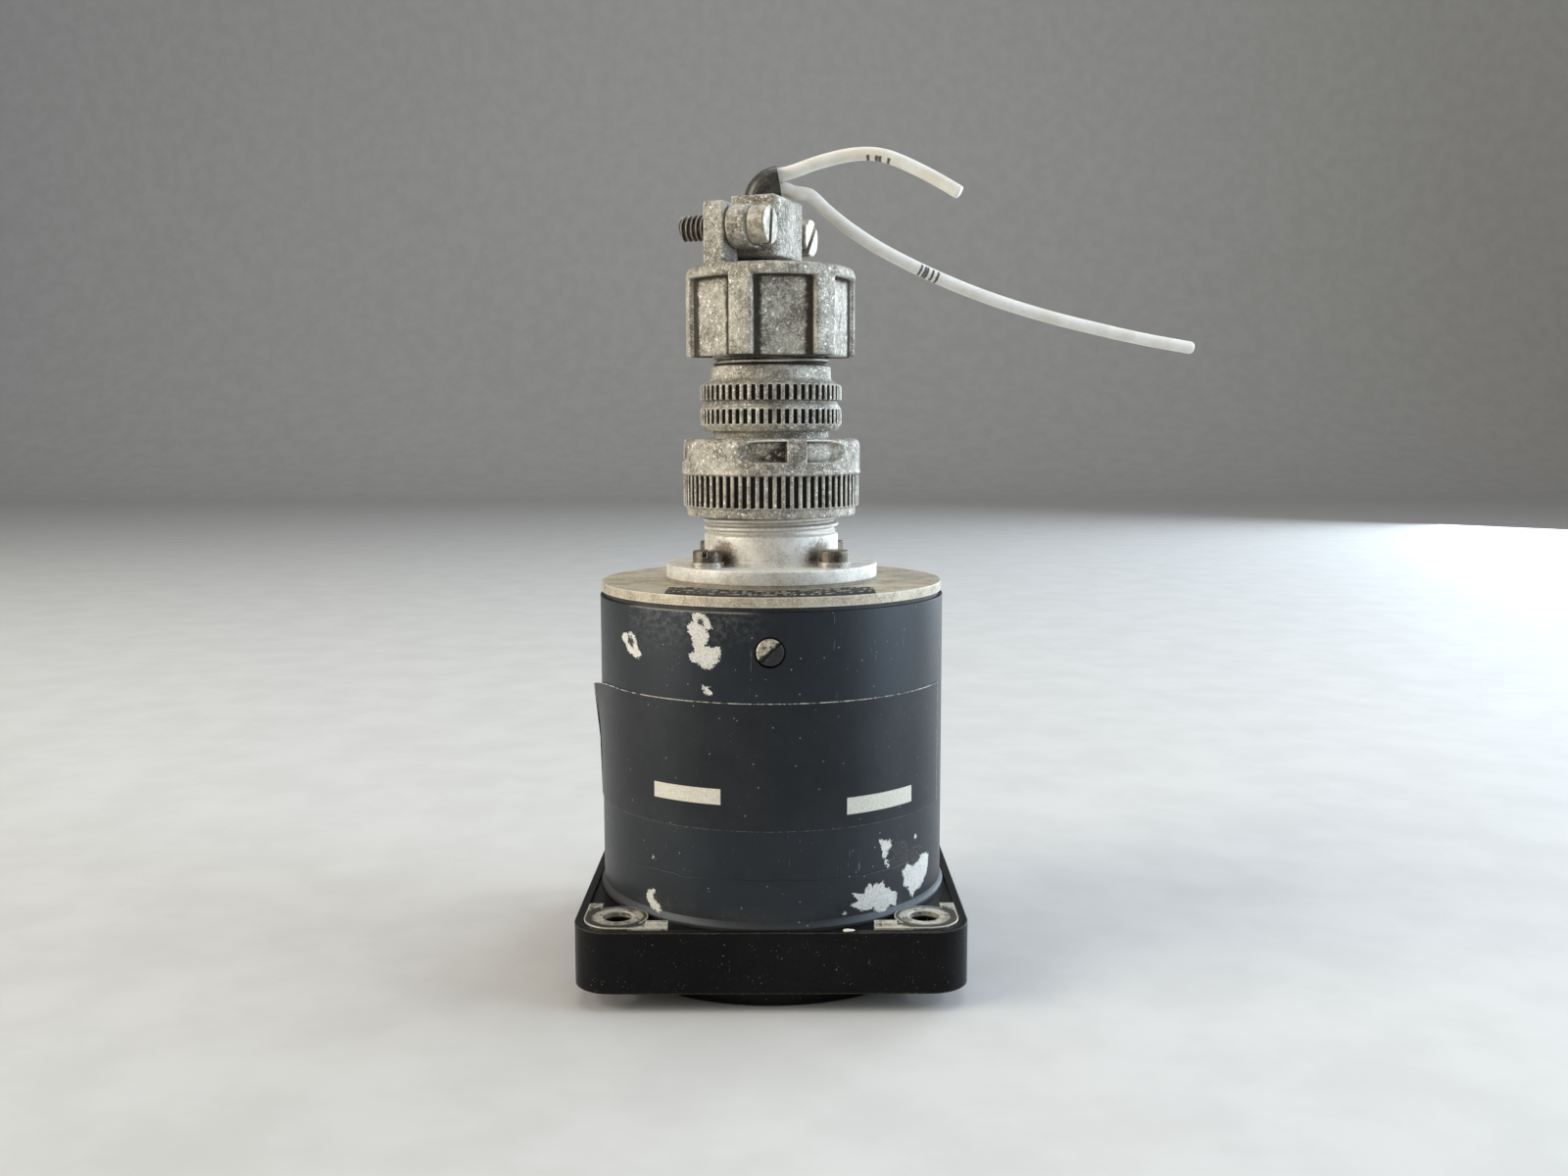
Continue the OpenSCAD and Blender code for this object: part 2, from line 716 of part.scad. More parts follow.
module bridge(z_foot, z_bar, way) {
    z0 = min(z_bar, z_foot);
    difference() {
        union() {
            translate([-bridge_reach, -bridge_w / 2, z_bar]) cube([2 * bridge_reach, bridge_w, bridge_t]);
            for (side = [-1, 1]) translate([side * bridge_foot_x, 0, 0])
                disc(bridge_foot_r, min(z_foot, z_bar), max(z_foot, z_bar + bridge_t));
        }
        disc(jewel_screw_r + seat_gap, z_bar - cut, z_bar + bridge_t + cut);
        for (side = [-1, 1]) translate([side * bridge_foot_x, 0, 0])
            disc(bridge_screw_r + 0.1, z0 - cut, max(z_foot, z_bar + bridge_t) + cut);
    }
}

module front_bridge() {
    color([0.8, 0.7, 0.42]) bridge(z_base, z_front_bridge);
}

module rear_bridge() {
    color([0.8, 0.7, 0.42]) bridge(z_pole_end, z_rear_bridge);
}

module bridge_screws() {
    color([0.55, 0.5, 0.35]) for (side = [-1, 1]) translate([side * bridge_foot_x, 0, 0]) {
        translate([0, 0, z_front_bridge]) rotate([180, 0, 0]) slotted_screw(
            bridge_screw_r, bridge_t + front_bridge_rise, bridge_screw_head_r, bridge_screw_head_h, 0.4, 70
        );
        translate([0, 0, z_rear_bridge + bridge_t]) slotted_screw(
            bridge_screw_r, bridge_t + rear_bridge_rise + 2.4, bridge_screw_head_r, bridge_screw_head_h, 0.4, 70
        );
    }
}

module front_jewel_screw() {
    color([0.85, 0.72, 0.35]) translate([0, 0, z_front_bridge - 0.8]) difference() {
        cylinder(r = jewel_screw_r, h = jewel_screw_l - 0.6);
        translate([0, 0, -cut]) cylinder(r = staff_r + running_fit, h = jewel_screw_l + 2 * cut);
    }
}

module rear_jewel_screw() {
    color([0.85, 0.72, 0.35]) translate([0, 0, z_rear_bridge - 0.4]) difference() {
        cylinder(r = jewel_screw_r, h = jewel_screw_l);
        translate([0, 0, -cut]) cylinder(r = staff_r + running_fit, h = jewel_depth + cut);
        translate([-jewel_screw_r - cut, -0.25, jewel_screw_l - 0.6]) cube([2 * jewel_screw_r + 2 * cut, 0.5, 1]);
    }
}

// Middle heights of the two hairsprings
z_front_spring = z_front_bridge + bridge_t + spring_gap;
z_rear_spring = z_rear_bridge - spring_gap - 0.6;
spring_end_angle = 360 * spring_turns;

module spring_arms() {
    reach = spring_reach + 0.9;
    color([0.8, 0.7, 0.4]) for (end = [0, 1])
        let (z0 = end == 0 ? z_front_bridge + bridge_t : z_rear_bridge - spring_arm_t,
             z1 = end == 0 ? z_front_spring : z_rear_spring)
        rotate([0, 0, spring_end_angle]) {
            difference() {
                union() {
                    disc(spring_arm_r, z0, z0 + spring_arm_t);
                    translate([0, -spring_arm_w / 2, z0]) cube([reach, spring_arm_w, spring_arm_t]);
                    translate([spring_reach + spring_ribbon_t / 2 + seat_gap, -0.5, min(z0, z1 - spring_ribbon_h / 2)])
                        cube([0.7, 1, abs(z1 - z0) + spring_arm_t]);
                }
                disc(jewel_screw_r + seat_gap, z0 - cut, z0 + spring_arm_t + cut);
            }
        }
}

// A flat spiral from the staff's collet out to the anchor arm
function spiral_side(shift) = [
    for (i = [0 : ceil(spring_turns * spring_steps)])
        let (a = 360 * min(i / spring_steps, spring_turns))
        (spring_inner_r + spring_pitch * a / 360 + shift) * [cos(a), sin(a)]
];
function reversed(list) = [for (i = [len(list) - 1 : -1 : 0]) list[i]];

module hairsprings() {
    half = spring_ribbon_t / 2;
    color([0.6, 0.5, 0.3]) for (z = [z_front_spring, z_rear_spring])
        translate([0, 0, z - spring_ribbon_h / 2]) linear_extrude(spring_ribbon_h)
            polygon(concat(spiral_side(half), reversed(spiral_side(-half))));
}

module frame_pillars() {
    color([0.75, 0.72, 0.6]) around(pillar_count, pillar_ring_r, 30) difference() {
        disc(pillar_r, z_base_end, z_board);
        disc(movement_screw_r - 0.2, z_board - 4, z_board + cut);
    }
}

module terminal_board() {
    color([0.35, 0.2, 0.1]) difference() {
        disc(board_r, z_board, z_board_end);
        around(pillar_count, pillar_ring_r, 30) disc(movement_screw_r, z_board - cut, z_board_end + cut);
        at_corners(lug_xy) disc(0.72, z_board - cut, z_board_end + cut);
    }
}

module board_screws() {
    color([0.5, 0.45, 0.3]) around(pillar_count, pillar_ring_r, 30) translate([0, 0, z_board_end])
        slotted_screw(movement_screw_r - 0.22, board_t + 3, 1.6, movement_screw_head_h, 0.5, 110);
}

module resistor_spools() {
    color([0.55, 0.3, 0.12]) for (side = [-1, 1]) translate([side * (spool_x + 2), 0, z_board_end]) {
        cylinder(r = spool_flange_r, h = spool_flange_t);
        cylinder(r = spool_core_r, h = spool_h);
        translate([0, 0, spool_h - spool_flange_t]) cylinder(r = spool_flange_r, h = spool_flange_t);
    }
}

module terminal_lugs() {
    color([0.8, 0.7, 0.4]) at_corners(lug_xy) {
        disc(0.7, z_board - 0.8, z_board_end + 0.1);
        disc(lug_r, z_board_end, z_board_end + lug_h);
    }
}

// Contact places, on the diagonals
module at_contacts() {
    around(contact_count, contact_ring_r, 45) rotate([0, 0, -45]) children();
}

module internal_leads() {
    z0 = z_board_end + lug_h;
    z1 = z_rear_barrel + insert_lip_h - cup_l;
    color([0.85, 0.82, 0.7]) for (i = [0 : 3]) rotate([0, 0, 90 * i + 45]) {
        a = [lug_xy * sqrt(2), 0, z0];
        b = [contact_ring_r, 0, z1];
        h = z1 - z0;
        swept_tube([
            a, a + [0, 0, 0.12 * h], a + [-0.6, 0, 0.35 * h],
            [(a.x + b.x) / 2, 0, (z0 + z1) / 2], b + [0.6, 0, -0.35 * h], b + [0, 0, -0.12 * h], b
        ], lead_r);
    }
}

// What turns with the pointer, drawn at its low stop
module pointer_turned() {
    rotate([0, 0, -pointer_stop_angle]) children();
}

module pointer() {
    color([0.9, 0.9, 0.86]) pointer_turned() difference() {
        union() {
            translate([0, 0, z_pointer]) linear_extrude(pointer_t) polygon([
                [-pointer_root_w / 2, 0], [pointer_root_w / 2, 0],
                [pointer_tip_w / 2, pointer_l], [-pointer_tip_w / 2, pointer_l]
            ]);
            translate([-pointer_root_w / 2, -pointer_tail_l, z_pointer])
                cube([pointer_root_w, pointer_tail_l, pointer_t]);
            disc(pointer_hub_r, z_pointer, z_pointer + pointer_hub_h);
        }
        disc(staff_r + seat_gap, z_pointer - cut, z_pointer + pointer_hub_h + cut);
    }
}

module pivot_staffs() {
    z_tip = z_rear_bridge - 0.4 + jewel_depth - staff_tip_gap;
    color([0.7, 0.7, 0.72]) {
        disc(staff_r, z_pointer - 0.3, z_coil);
        disc(collet_r, z_front_spring - 0.4, z_coil);
        disc(staff_r, z_coil_end, z_tip);
        disc(collet_r, z_coil_end, z_rear_spring + 0.4);
    }
}

module moving_coil() {
    color([0.7, 0.35, 0.15]) pointer_turned() difference() {
        translate([-coil_half, -coil_w / 2, z_coil]) cube([2 * coil_half, coil_w, z_coil_end - z_coil]);
        translate([-coil_half + coil_wall, -coil_w, z_coil + coil_wall])
            cube([2 * (coil_half - coil_wall), 2 * coil_w, z_coil_end - z_coil - 2 * coil_wall]);
    }
}

module balance_weights() {
    arm_l = 5.6;
    arm_w = 0.6;
    arm_t = 0.45;
    weight_r = 0.7;
    weight_h = 0.5;
    color([0.8, 0.7, 0.4]) pointer_turned() for (turn = [60, 120, 270]) rotate([0, 0, turn]) {
        difference() {
            translate([0, -arm_w / 2, z_coil - arm_t]) cube([arm_l, arm_w, arm_t]);
            disc(collet_r + seat_gap, z_coil - arm_t - cut, z_coil + cut);
        }
        translate([arm_l - 1, 0, z_coil - weight_h]) cylinder(r = weight_r, h = weight_h);
    }
}

// Case
module case_screw_places() {
    for (i = [0 : case_screw_count - 1]) rotate([0, 0, -90 + 360 * i / case_screw_count])
        translate([case_r - case_screw_sink - case_screw_head_h, 0, z_case_screw]) rotate([0, 90, 0]) children();
}

module case_shell() {
    color([0.07, 0.075, 0.085]) difference() {
        rotate_extrude() polygon([
            [case_bore_r, z_recess], [case_r + flare_w, z_recess],
            [case_r + flare_w, z_recess + flare_h * 0.35], [case_r + flare_w * 0.35, z_recess + flare_h * 0.7],
            [case_r, z_recess + flare_h], [case_r, z_case_end], [case_bore_r, z_case_end]
        ]);
        case_screw_places() {
            cylinder(r = case_screw_head_r + 0.28, h = case_wall + 1);
            translate([0, 0, -2]) cylinder(r = case_screw_r + 0.15, h = 3);
        }
    }
}

module case_screws() {
    color([0.6, 0.55, 0.45]) case_screw_places() slotted_screw(
        case_screw_r, case_screw_len + case_wall - case_screw_sink - case_screw_head_h,
        case_screw_head_r, case_screw_head_h, case_screw_slot_w, -45
    );
}

// Wedge of a ring between two angles, counted from -Y towards +X
module ring_sector(r, hole_r, z0, z1, start, sweep) {
    reach = 2 * r;
    steps = 8;
    intersection() {
        washer(r, hole_r, z0, z1);
        translate([0, 0, z0 - cut]) linear_extrude(z1 - z0 + 2 * cut) polygon(concat(
            [[0, 0]],
            [for (i = [0 : steps]) let (a = -90 + start + sweep * i / steps) reach * [cos(a), sin(a)]]
        ));
    }
}

module case_label() {
    z0 = z_recess + label_foot;
    color([0.03, 0.03, 0.035])
        ring_sector(case_r + seat_gap + label_t, case_r + seat_gap, z0, z0 + label_h, label_start, label_sweep);
}

module case_gasket() {
    color([0.05, 0.05, 0.05]) washer(gasket_outer_r, skirt_r + seat_gap, z_case_end, z_plate);
}

module receptacle_screw_places() {
    at_corners(receptacle_screw_xy) children();
}

module back_plate() {
    color([0.72, 0.7, 0.66]) difference() {
        union() {
            disc(plate_r, z_plate, z_plate_end);
            washer(skirt_r, skirt_r - skirt_t, z_plate - skirt_l, z_plate + 0.1);
            disc(pad_r, z_plate - pad_t, z_plate + 0.1);
        }
        disc(barrel_hole_r, z_plate - pad_t - cut, z_plate_end + cut);
        receptacle_screw_places() disc(flange_screw_r + seat_gap, z_plate - pad_t - cut, z_plate_end + cut);
        case_screw_places() translate([0, 0, -skirt_t - 2]) cylinder(r = case_screw_r + seat_gap, h = skirt_t + 3);
    }
}

module plate_decal() {
    color([0.1, 0.1, 0.1]) intersection() {
        washer(plate_r - decal_margin, receptacle_flange_r + 1.2, z_plate_end, z_plate_end + decal_t);
        translate([-decal_w / 2, -plate_r, z_plate_end - cut]) cube([decal_w, plate_r - decal_reach, 2 * cut + decal_t]);
    }
}

// Receptacle
module receptacle_gasket() {
    color([0.15, 0.15, 0.15]) difference() {
        washer(receptacle_flange_r - 0.15, barrel_hole_r, z_plate_end, z_receptacle);
        receptacle_screw_places() disc(flange_screw_r + 0.15, z_plate_end - cut, z_receptacle + cut);
    }
}

module receptacle_shell() {
    color([0.8, 0.79, 0.77]) difference() {
        union() {
            disc(receptacle_flange_r, z_receptacle, z_receptacle_top);
            disc(receptacle_r - 0.05, z_receptacle, z_thread);
            disc(rear_barrel_r, z_rear_barrel, z_receptacle + 0.1);
            rotate_extrude() polygon(ridge_outline(
                receptacle_bore_r - 0.3, receptacle_r, thread_depth, coupling_pitch, z_thread, z_receptacle_end
            ));
        }
        difference() {
            disc(receptacle_bore_r, z_rear_barrel + insert_lip_h, z_receptacle_end + cut);
            translate([-key_w / 2, receptacle_bore_r - key_reach, z_nose + 0.6])
                cube([key_w, key_reach + cut, z_receptacle_end - z_nose]);
        }
        disc(receptacle_bore_r - insert_lip, z_rear_barrel - cut, z_rear_barrel + insert_lip_h + cut);
        receptacle_screw_places() disc(flange_screw_r + 0.15, z_receptacle - cut, z_receptacle_top + cut);
    }
}

module receptacle_insert() {
    color([0.12, 0.1, 0.1]) difference() {
        disc(insert_r, z_rear_barrel + insert_lip_h, z_insert_end);
        at_contacts() disc(pin_r + 0.03, z_rear_barrel - cut, z_insert_end + cut);
    }
}

module contact_pins() {
    z_cup = z_rear_barrel + insert_lip_h;
    color([0.85, 0.72, 0.35]) at_contacts() {
        disc(pin_r, z_cup - 0.1, z_plug_flange - 2.8);
        difference() {
            disc(cup_r, z_cup - cup_l, z_cup);
            disc(lead_r + 0.1, z_cup - cup_l - cut, z_cup - cup_l);
        }
    }
}

module flange_screws() {
    reach = washer_t + receptacle_flange_t + receptacle_gasket_t + plate_t + pad_t + 0.5;
    color([0.35, 0.33, 0.3]) receptacle_screw_places() translate([0, 0, z_receptacle_top + washer_t])
        slotted_screw(
            flange_screw_r, reach, flange_screw_head_r, flange_screw_head_h, flange_screw_slot_w, 25
        );
}

module flange_lockwashers() {
    color([0.3, 0.28, 0.26]) receptacle_screw_places() difference() {
        washer(washer_r, flange_screw_r + 0.1, z_receptacle_top, z_receptacle_top + washer_t);
        translate([0, -0.25, z_receptacle_top - cut]) cube([washer_r + cut, 0.5, washer_t + 2 * cut]);
    }
}

// Plug
module plug_shell() {
    color([0.3, 0.29, 0.27]) difference() {
        union() {
            disc(nose_r, z_nose, z_plug_flange + 0.1);
            disc(plug_flange_r, z_plug_flange, z_plug_flange_end);
            disc(plug_neck_r, z_plug_flange, z_bell + bell_socket_l - 0.3);
        }
        disc(plug_bore_r, z_nose - cut, z_bell + bell_socket_l + cut);
        translate([-key_w / 2 - 0.2, plug_bore_r - 1, z_nose - cut])
            cube([key_w + 0.4, nose_r - plug_bore_r + 2, nose_l + cut]);
    }
}

module plug_insert() {
    color([0.12, 0.1, 0.1]) difference() {
        disc(plug_bore_r - push_fit, z_nose + 0.8, z_plug_flange_end + 1.8);
        at_contacts() disc(socket_r + seat_gap, z_nose - cut, z_plug_flange_end + 3);
    }
}

module socket_contacts() {
    z_bore_end = z_plug_flange - 1.2;
    color([0.85, 0.72, 0.35]) at_contacts() difference() {
        disc(socket_r, z_socket, z_socket_end + cup_l);
        disc(pin_r + running_fit + 0.02, z_socket - cut, z_bore_end);
    }
}

module coupling_ring() {
    z_knurl = z_coupling + coupling_rim_h;
    z_band = z_knurl + coupling_knurl_h;
    color([0.5, 0.48, 0.44]) difference() {
        union() {
            disc(coupling_rim_r, z_coupling, z_knurl + 0.1);
            translate([0, 0, z_knurl]) linear_extrude(coupling_knurl_h + 0.1)
                polygon(knurl_outline(coupling_knurl_r, knurl_depth, coupling_teeth));
            rotate_extrude() polygon([
                [0, z_band], [coupling_r + 0.15, z_band], [coupling_r + 0.15, z_band + 0.4],
                [coupling_r, z_band + 0.6], [coupling_r, z_coupling_end - coupling_corner_r],
                [coupling_r - 0.3 * coupling_corner_r, z_coupling_end - 0.3 * coupling_corner_r],
                [coupling_r - coupling_corner_r, z_coupling_end], [0, z_coupling_end]
            ]);
        }
        disc(coupling_bore_r, z_coupling - cut, z_coupling_lip);
        disc(coupling_cavity_r, z_coupling_snap - 1, z_coupling_lip);
        disc(coupling_snap_r + 0.05, z_coupling_snap - 0.05, z_coupling_snap + coupling_snap_t + 0.05);
        disc(plug_neck_r + loose_fit, z_coupling_lip - cut, z_coupling_end + cut);
        for (i = [0 : lock_lug_count - 1]) rotate([0, 0, lock_turn + 360 * i / lock_lug_count]) lock_recess();
    }
}

// Slanting recess at the rear edge that leaves a drilled web for locking wire
module lock_recess() {
    slope = atan(lock_cut_depth / lock_cut_drop);
    difference() {
        translate([0, -coupling_r, z_coupling_end - lock_cut_drop]) rotate([-slope, 0, 0])
            translate([-coupling_r, -6, 0]) cube([2 * coupling_r, 6, 3 * lock_cut_drop]);
        translate([lock_web_x - lock_web_w / 2, -coupling_r - 7, z_coupling]) cube([lock_web_w, 12, 2 * coupling_l]);
    }
    translate([lock_web_x - lock_web_w, -coupling_r + 0.9, z_coupling_end - 1.1]) rotate([0, 90, 0])
        cylinder(r = lock_hole_r, h = 2 * lock_web_w);
}

module coupling_snap_ring() {
    color([0.6, 0.6, 0.6]) difference() {
        washer(coupling_snap_r, receptacle_r + loose_fit, z_coupling_snap, z_coupling_snap + coupling_snap_t);
        translate([-0.8, 0, z_coupling_snap - cut]) cube([1.6, coupling_snap_r + cut, coupling_snap_t + 2 * cut]);
    }
}

module end_bell() {
    color([0.52, 0.5, 0.46]) difference() {
        union() {
            translate([0, 0, z_bell]) cylinder(r1 = end_bell_r - 0.7, r2 = end_bell_r - 0.15, h = bell_rim_h + 0.1);
            for (z = [z_bell_knurl, z_bell_knurl2]) translate([0, 0, z]) linear_extrude(bell_knurl_h)
                polygon(knurl_outline(end_bell_r, knurl_depth, end_bell_teeth, 0.4));
            disc(end_bell_r - knurl_depth - 0.1, z_bell_knurl, z_bell_cone);
            translate([0, 0, z_bell_groove]) cylinder(
                r1 = end_bell_r - 0.05, r2 = end_bell_r - knurl_depth - 0.15, h = bell_groove_h - 0.4
            );
            translate([0, 0, z_bell_cone]) cylinder(r1 = end_bell_r - 0.1, r2 = bell_neck_r, h = bell_cone_h);
            disc(bell_neck_r, z_bell_cone, z_bell_thread);
            rotate_extrude() polygon(ridge_outline(0, clamp_thread_r, thread_depth, coupling_pitch, z_bell_thread, z_bell_end));
        }
        disc(plug_neck_r + push_fit, z_bell - cut, z_bell + bell_socket_l);
        disc(clamp_thread_r - bell_wall, z_bell - cut, z_bell_end + cut);
    }
}

// Cable clamp
module clamp_turned() {
    rotate([0, 0, clamp_turn]) children();
}

module at_clamp_screws() {
    for (side = [-1, 1]) translate([0, side * clamp_screw_gap / 2, z_clamp_screw]) rotate([0, 90, 0]) children();
}

module clamp_body() {
    z_jaw_end = z_nut_end + jaw_h;
    jaw_half_w = clamp_screw_gap / 2 + jaw_ear;
    color([0.5, 0.48, 0.44]) difference() {
        union() {
            intersection() {
                disc(nut_panel_r, z_nut, z_nut_end - 0.2);
                translate([0, 0, z_nut]) linear_extrude(nut_h - 0.2) polygon([
                    for (i = [0 : nut_rib_count - 1])
                        let (a = nut_rib_turn - 90 + 360 * i / nut_rib_count)
                        nut_flat_r / cos(180 / nut_rib_count) * [cos(a), sin(a)]
                ]);
            }
            intersection() {
                disc(nut_r, z_nut, z_nut_end - nut_top_t + 0.1);
                for (i = [0 : nut_rib_count / 2 - 1]) rotate([0, 0, nut_rib_turn - 90 + 360 * i / nut_rib_count])
                    translate([-2 * nut_r, -nut_rib_w / 2, z_nut]) cube([4 * nut_r, nut_rib_w, nut_h]);
            }
            rotate_extrude() polygon([
                [0, z_nut_end - nut_top_t], [nut_r, z_nut_end - nut_top_t], [nut_r, z_nut_end - nut_corner_r],
                [nut_r - 0.3 * nut_corner_r, z_nut_end - 0.3 * nut_corner_r],
                [nut_r - nut_corner_r, z_nut_end], [0, z_nut_end]
            ]);
            clamp_turned() translate([jaw_back_x, -jaw_half_w, z_nut_end - 0.5])
                cube([jaw_face_x - jaw_back_x, 2 * jaw_half_w, jaw_h + 0.5]);
        }
        disc(nut_bore_r, z_nut - cut, z_nut_end - nut_top_t);
        clamp_turned() {
            translate([passage_x, 0, 0]) disc(passage_r, z_nut_end - nut_top_t - cut, z_jaw_end + cut);
            translate([jaw_recess_x, -saddle_half_w - 0.3, z_nut_end]) cube([4, 2 * saddle_half_w + 0.6, jaw_h + cut]);
            at_clamp_screws() translate([0, 0, -2 * nut_r]) cylinder(r = clamp_screw_r + running_fit, h = 2 * nut_r);
        }
    }
}

module clamp_grommet() {
    z0 = z_bell_end + grommet_lift;
    color([0.1, 0.1, 0.1]) difference() {
        disc(nut_bore_r - 0.25, z0, z_nut_end - nut_top_t);
        translate(passage_at) disc(sleeve_r + seat_gap, z0 - cut, z_nut_end);
    }
}

// Upright block whose two front edges are round
module saddle_footprint(z0, z1) {
    front = saddle_back_x - saddle_front_r;
    side = saddle_half_w - saddle_front_r;
    translate([saddle_arm_x - cut, -saddle_half_w, z0]) cube([front - saddle_arm_x + cut, 2 * saddle_half_w, z1 - z0]);
    translate([saddle_arm_x - cut, -side, z0]) cube([saddle_back_x - saddle_arm_x + cut, 2 * side, z1 - z0]);
    for (y = [-side, side]) translate([front, y, 0]) disc(saddle_front_r, z0, z1);
}

module clamp_saddle() {
    z_top = z_saddle + saddle_h;
    color([0.52, 0.5, 0.46]) clamp_turned() difference() {
        union() {
            intersection() {
                rotate([90, 0, 0]) translate([0, 0, -saddle_half_w]) linear_extrude(2 * saddle_half_w) polygon([
                    [saddle_arm_x, z_saddle], [saddle_back_x, z_saddle],
                    [saddle_back_x, z_top - saddle_corner_r],
                    [saddle_back_x - 0.3 * saddle_corner_r, z_top - 0.3 * saddle_corner_r],
                    [saddle_back_x - saddle_corner_r, z_top], [saddle_arm_x, z_top]
                ]);
                saddle_footprint(z_saddle - cut, z_top + cut);
            }
            at_clamp_screws() translate([0, 0, ear_face_x]) cylinder(r = ear_r, h = ear_seat_x - ear_face_x);
            translate([ear_face_x, -clamp_screw_gap / 2, z_clamp_screw - ear_r])
                cube([ear_seat_x - ear_face_x, clamp_screw_gap, 2 * ear_r]);
        }
        translate([passage_x, 0, 0]) disc(passage_r, z_saddle - cut, z_top + cut);
        translate([saddle_arm_x - cut, -passage_r, z_saddle - cut])
            cube([passage_x - saddle_arm_x + cut, 2 * passage_r, saddle_h + 2 * cut]);
        at_clamp_screws() {
            translate([0, 0, ear_face_x - cut]) cylinder(r = clamp_screw_r + loose_fit, h = 8);
            translate([0, 0, ear_seat_x]) cylinder(r = pocket_r, h = 8);
        }
    }
}

module clamp_screws() {
    color([0.55, 0.53, 0.48]) clamp_turned() at_clamp_screws() translate([0, 0, clamp_head_x])
        slotted_screw(
            clamp_screw_r, clamp_head_x - clamp_tail_x, clamp_head_r, clamp_head_h, clamp_slot_w, 125
        );
}

module clamp_lockwashers() {
    color([0.3, 0.3, 0.28]) clamp_turned() at_clamp_screws() difference() {
        washer(clamp_head_r - 0.25, clamp_screw_r + 0.1, ear_seat_x, clamp_head_x);
        translate([0, -0.3, ear_seat_x - cut]) cube([clamp_head_r, 0.6, clamp_washer_t + 2 * cut]);
    }
}

// Wires
module wire_sleeve() {
    color([0.2, 0.2, 0.21]) swept_tube([
        passage_at + [0, 0, z_sleeve],
        for (a = [0 : 10 : sleeve_bend])
            passage_at + [sleeve_bend_r * (1 - cos(a)), 0, z_sleeve_bend + sleeve_bend_r * sin(a)],
        sleeve_tip
    ], sleeve_r, 24);
}

module plug_leads() {
    z0 = z_socket_end + cup_l;
    spread = contact_ring_r * cos(45);
    h = z_sleeve - z0;
    color([0.9, 0.88, 0.82]) for (side = [-1, 1]) {
        a = [spread, side * spread, z0];
        b = passage_at + [0, side * wire_apart, z_sleeve];
        swept_tube([
            a, a + [0, 0, 0.15 * h], a * 0.8 + b * 0.2 + [0, 0, 0.05 * h],
            (a + b) / 2, a * 0.2 + b * 0.8 - [0, 0, 0.05 * h], b - [0, 0, 0.15 * h], b
        ], min(wire_r, cup_r - 0.1));
    }
}

module free_wire(side, steps) {
    start = sleeve_tip + side * wire_apart * sleeve_up;
    color([0.93, 0.92, 0.88]) swept_tube(concat([start], [for (s = steps) start + s]), wire_r);
}

module wire_long() {
    free_wire(-1, wire_long_steps);
}

module wire_short() {
    free_wire(1, wire_short_steps);
}

bezel_flange();
mounting_nut_plates();
case_shell();
case_label();
case_screws();
case_gasket();
back_plate();
plate_decal();
glass_snap_ring();
cover_glass();
glass_gasket();
dial_spacer_ring();
dial_plate();
dial_screws();
dial_posts();
movement_base();
movement_screws();
magnet();
pole_pieces();
pole_screws();
iron_core();
core_bracket();
front_bridge();
rear_bridge();
bridge_screws();
front_jewel_screw();
rear_jewel_screw();
spring_arms();
hairsprings();
frame_pillars();
terminal_board();
board_screws();
resistor_spools();
terminal_lugs();
internal_leads();
receptacle_gasket();
receptacle_shell();
receptacle_insert();
contact_pins();
flange_screws();
flange_lockwashers();
pointer();
pivot_staffs();
moving_coil();
balance_weights();
plug_shell();
plug_insert();
socket_contacts();
end_bell();
clamp_body();
clamp_grommet();
wire_sleeve();
plug_leads();
wire_long();
wire_short();
coupling_ring();
coupling_snap_ring();
clamp_saddle();
clamp_screws();
clamp_lockwashers();
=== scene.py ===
"""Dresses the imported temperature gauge: camera, studio, free wires, worked surfaces and finishes.

Lengths are written in millimetres and turned into metres where a mesh is made. The gauge stands
face down: +Z runs back along its case to the plug, and -Y is the labelled side.
"""

from __future__ import annotations

import logging
import math
from dataclasses import dataclass, replace
from enum import Enum
from functools import lru_cache
from typing import Any, Mapping, Sequence

import bmesh
import bpy
import numpy as np
from mathutils import Euler, Matrix


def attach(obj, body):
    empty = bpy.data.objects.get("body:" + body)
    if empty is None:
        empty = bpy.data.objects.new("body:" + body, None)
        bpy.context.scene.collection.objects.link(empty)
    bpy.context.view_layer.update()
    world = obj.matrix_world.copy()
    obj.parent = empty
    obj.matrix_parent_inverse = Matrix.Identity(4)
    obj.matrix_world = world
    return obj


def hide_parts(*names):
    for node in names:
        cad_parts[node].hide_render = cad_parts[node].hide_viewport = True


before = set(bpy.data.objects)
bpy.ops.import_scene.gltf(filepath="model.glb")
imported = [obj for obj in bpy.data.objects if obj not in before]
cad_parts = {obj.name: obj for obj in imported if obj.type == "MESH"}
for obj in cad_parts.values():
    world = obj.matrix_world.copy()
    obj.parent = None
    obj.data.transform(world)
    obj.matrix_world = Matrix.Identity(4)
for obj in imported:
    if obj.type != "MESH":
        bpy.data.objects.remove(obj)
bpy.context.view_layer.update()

MM = 0.001
LOG = logging.getLogger("gauge")
Array = np.ndarray
Colour = tuple[float, float, float]

# Sizes that several pieces and finishes share, in millimetres
CASE_R = 28.3
CASE_SCREW_Z = 54.57
LABEL_LOW = 27.45
LABEL_HIGH = 46.96
PLATE_HOLE = 23.57
COUPLING_PITCH = 1.27
MAP_UNIT = 100.0


# Shader maths


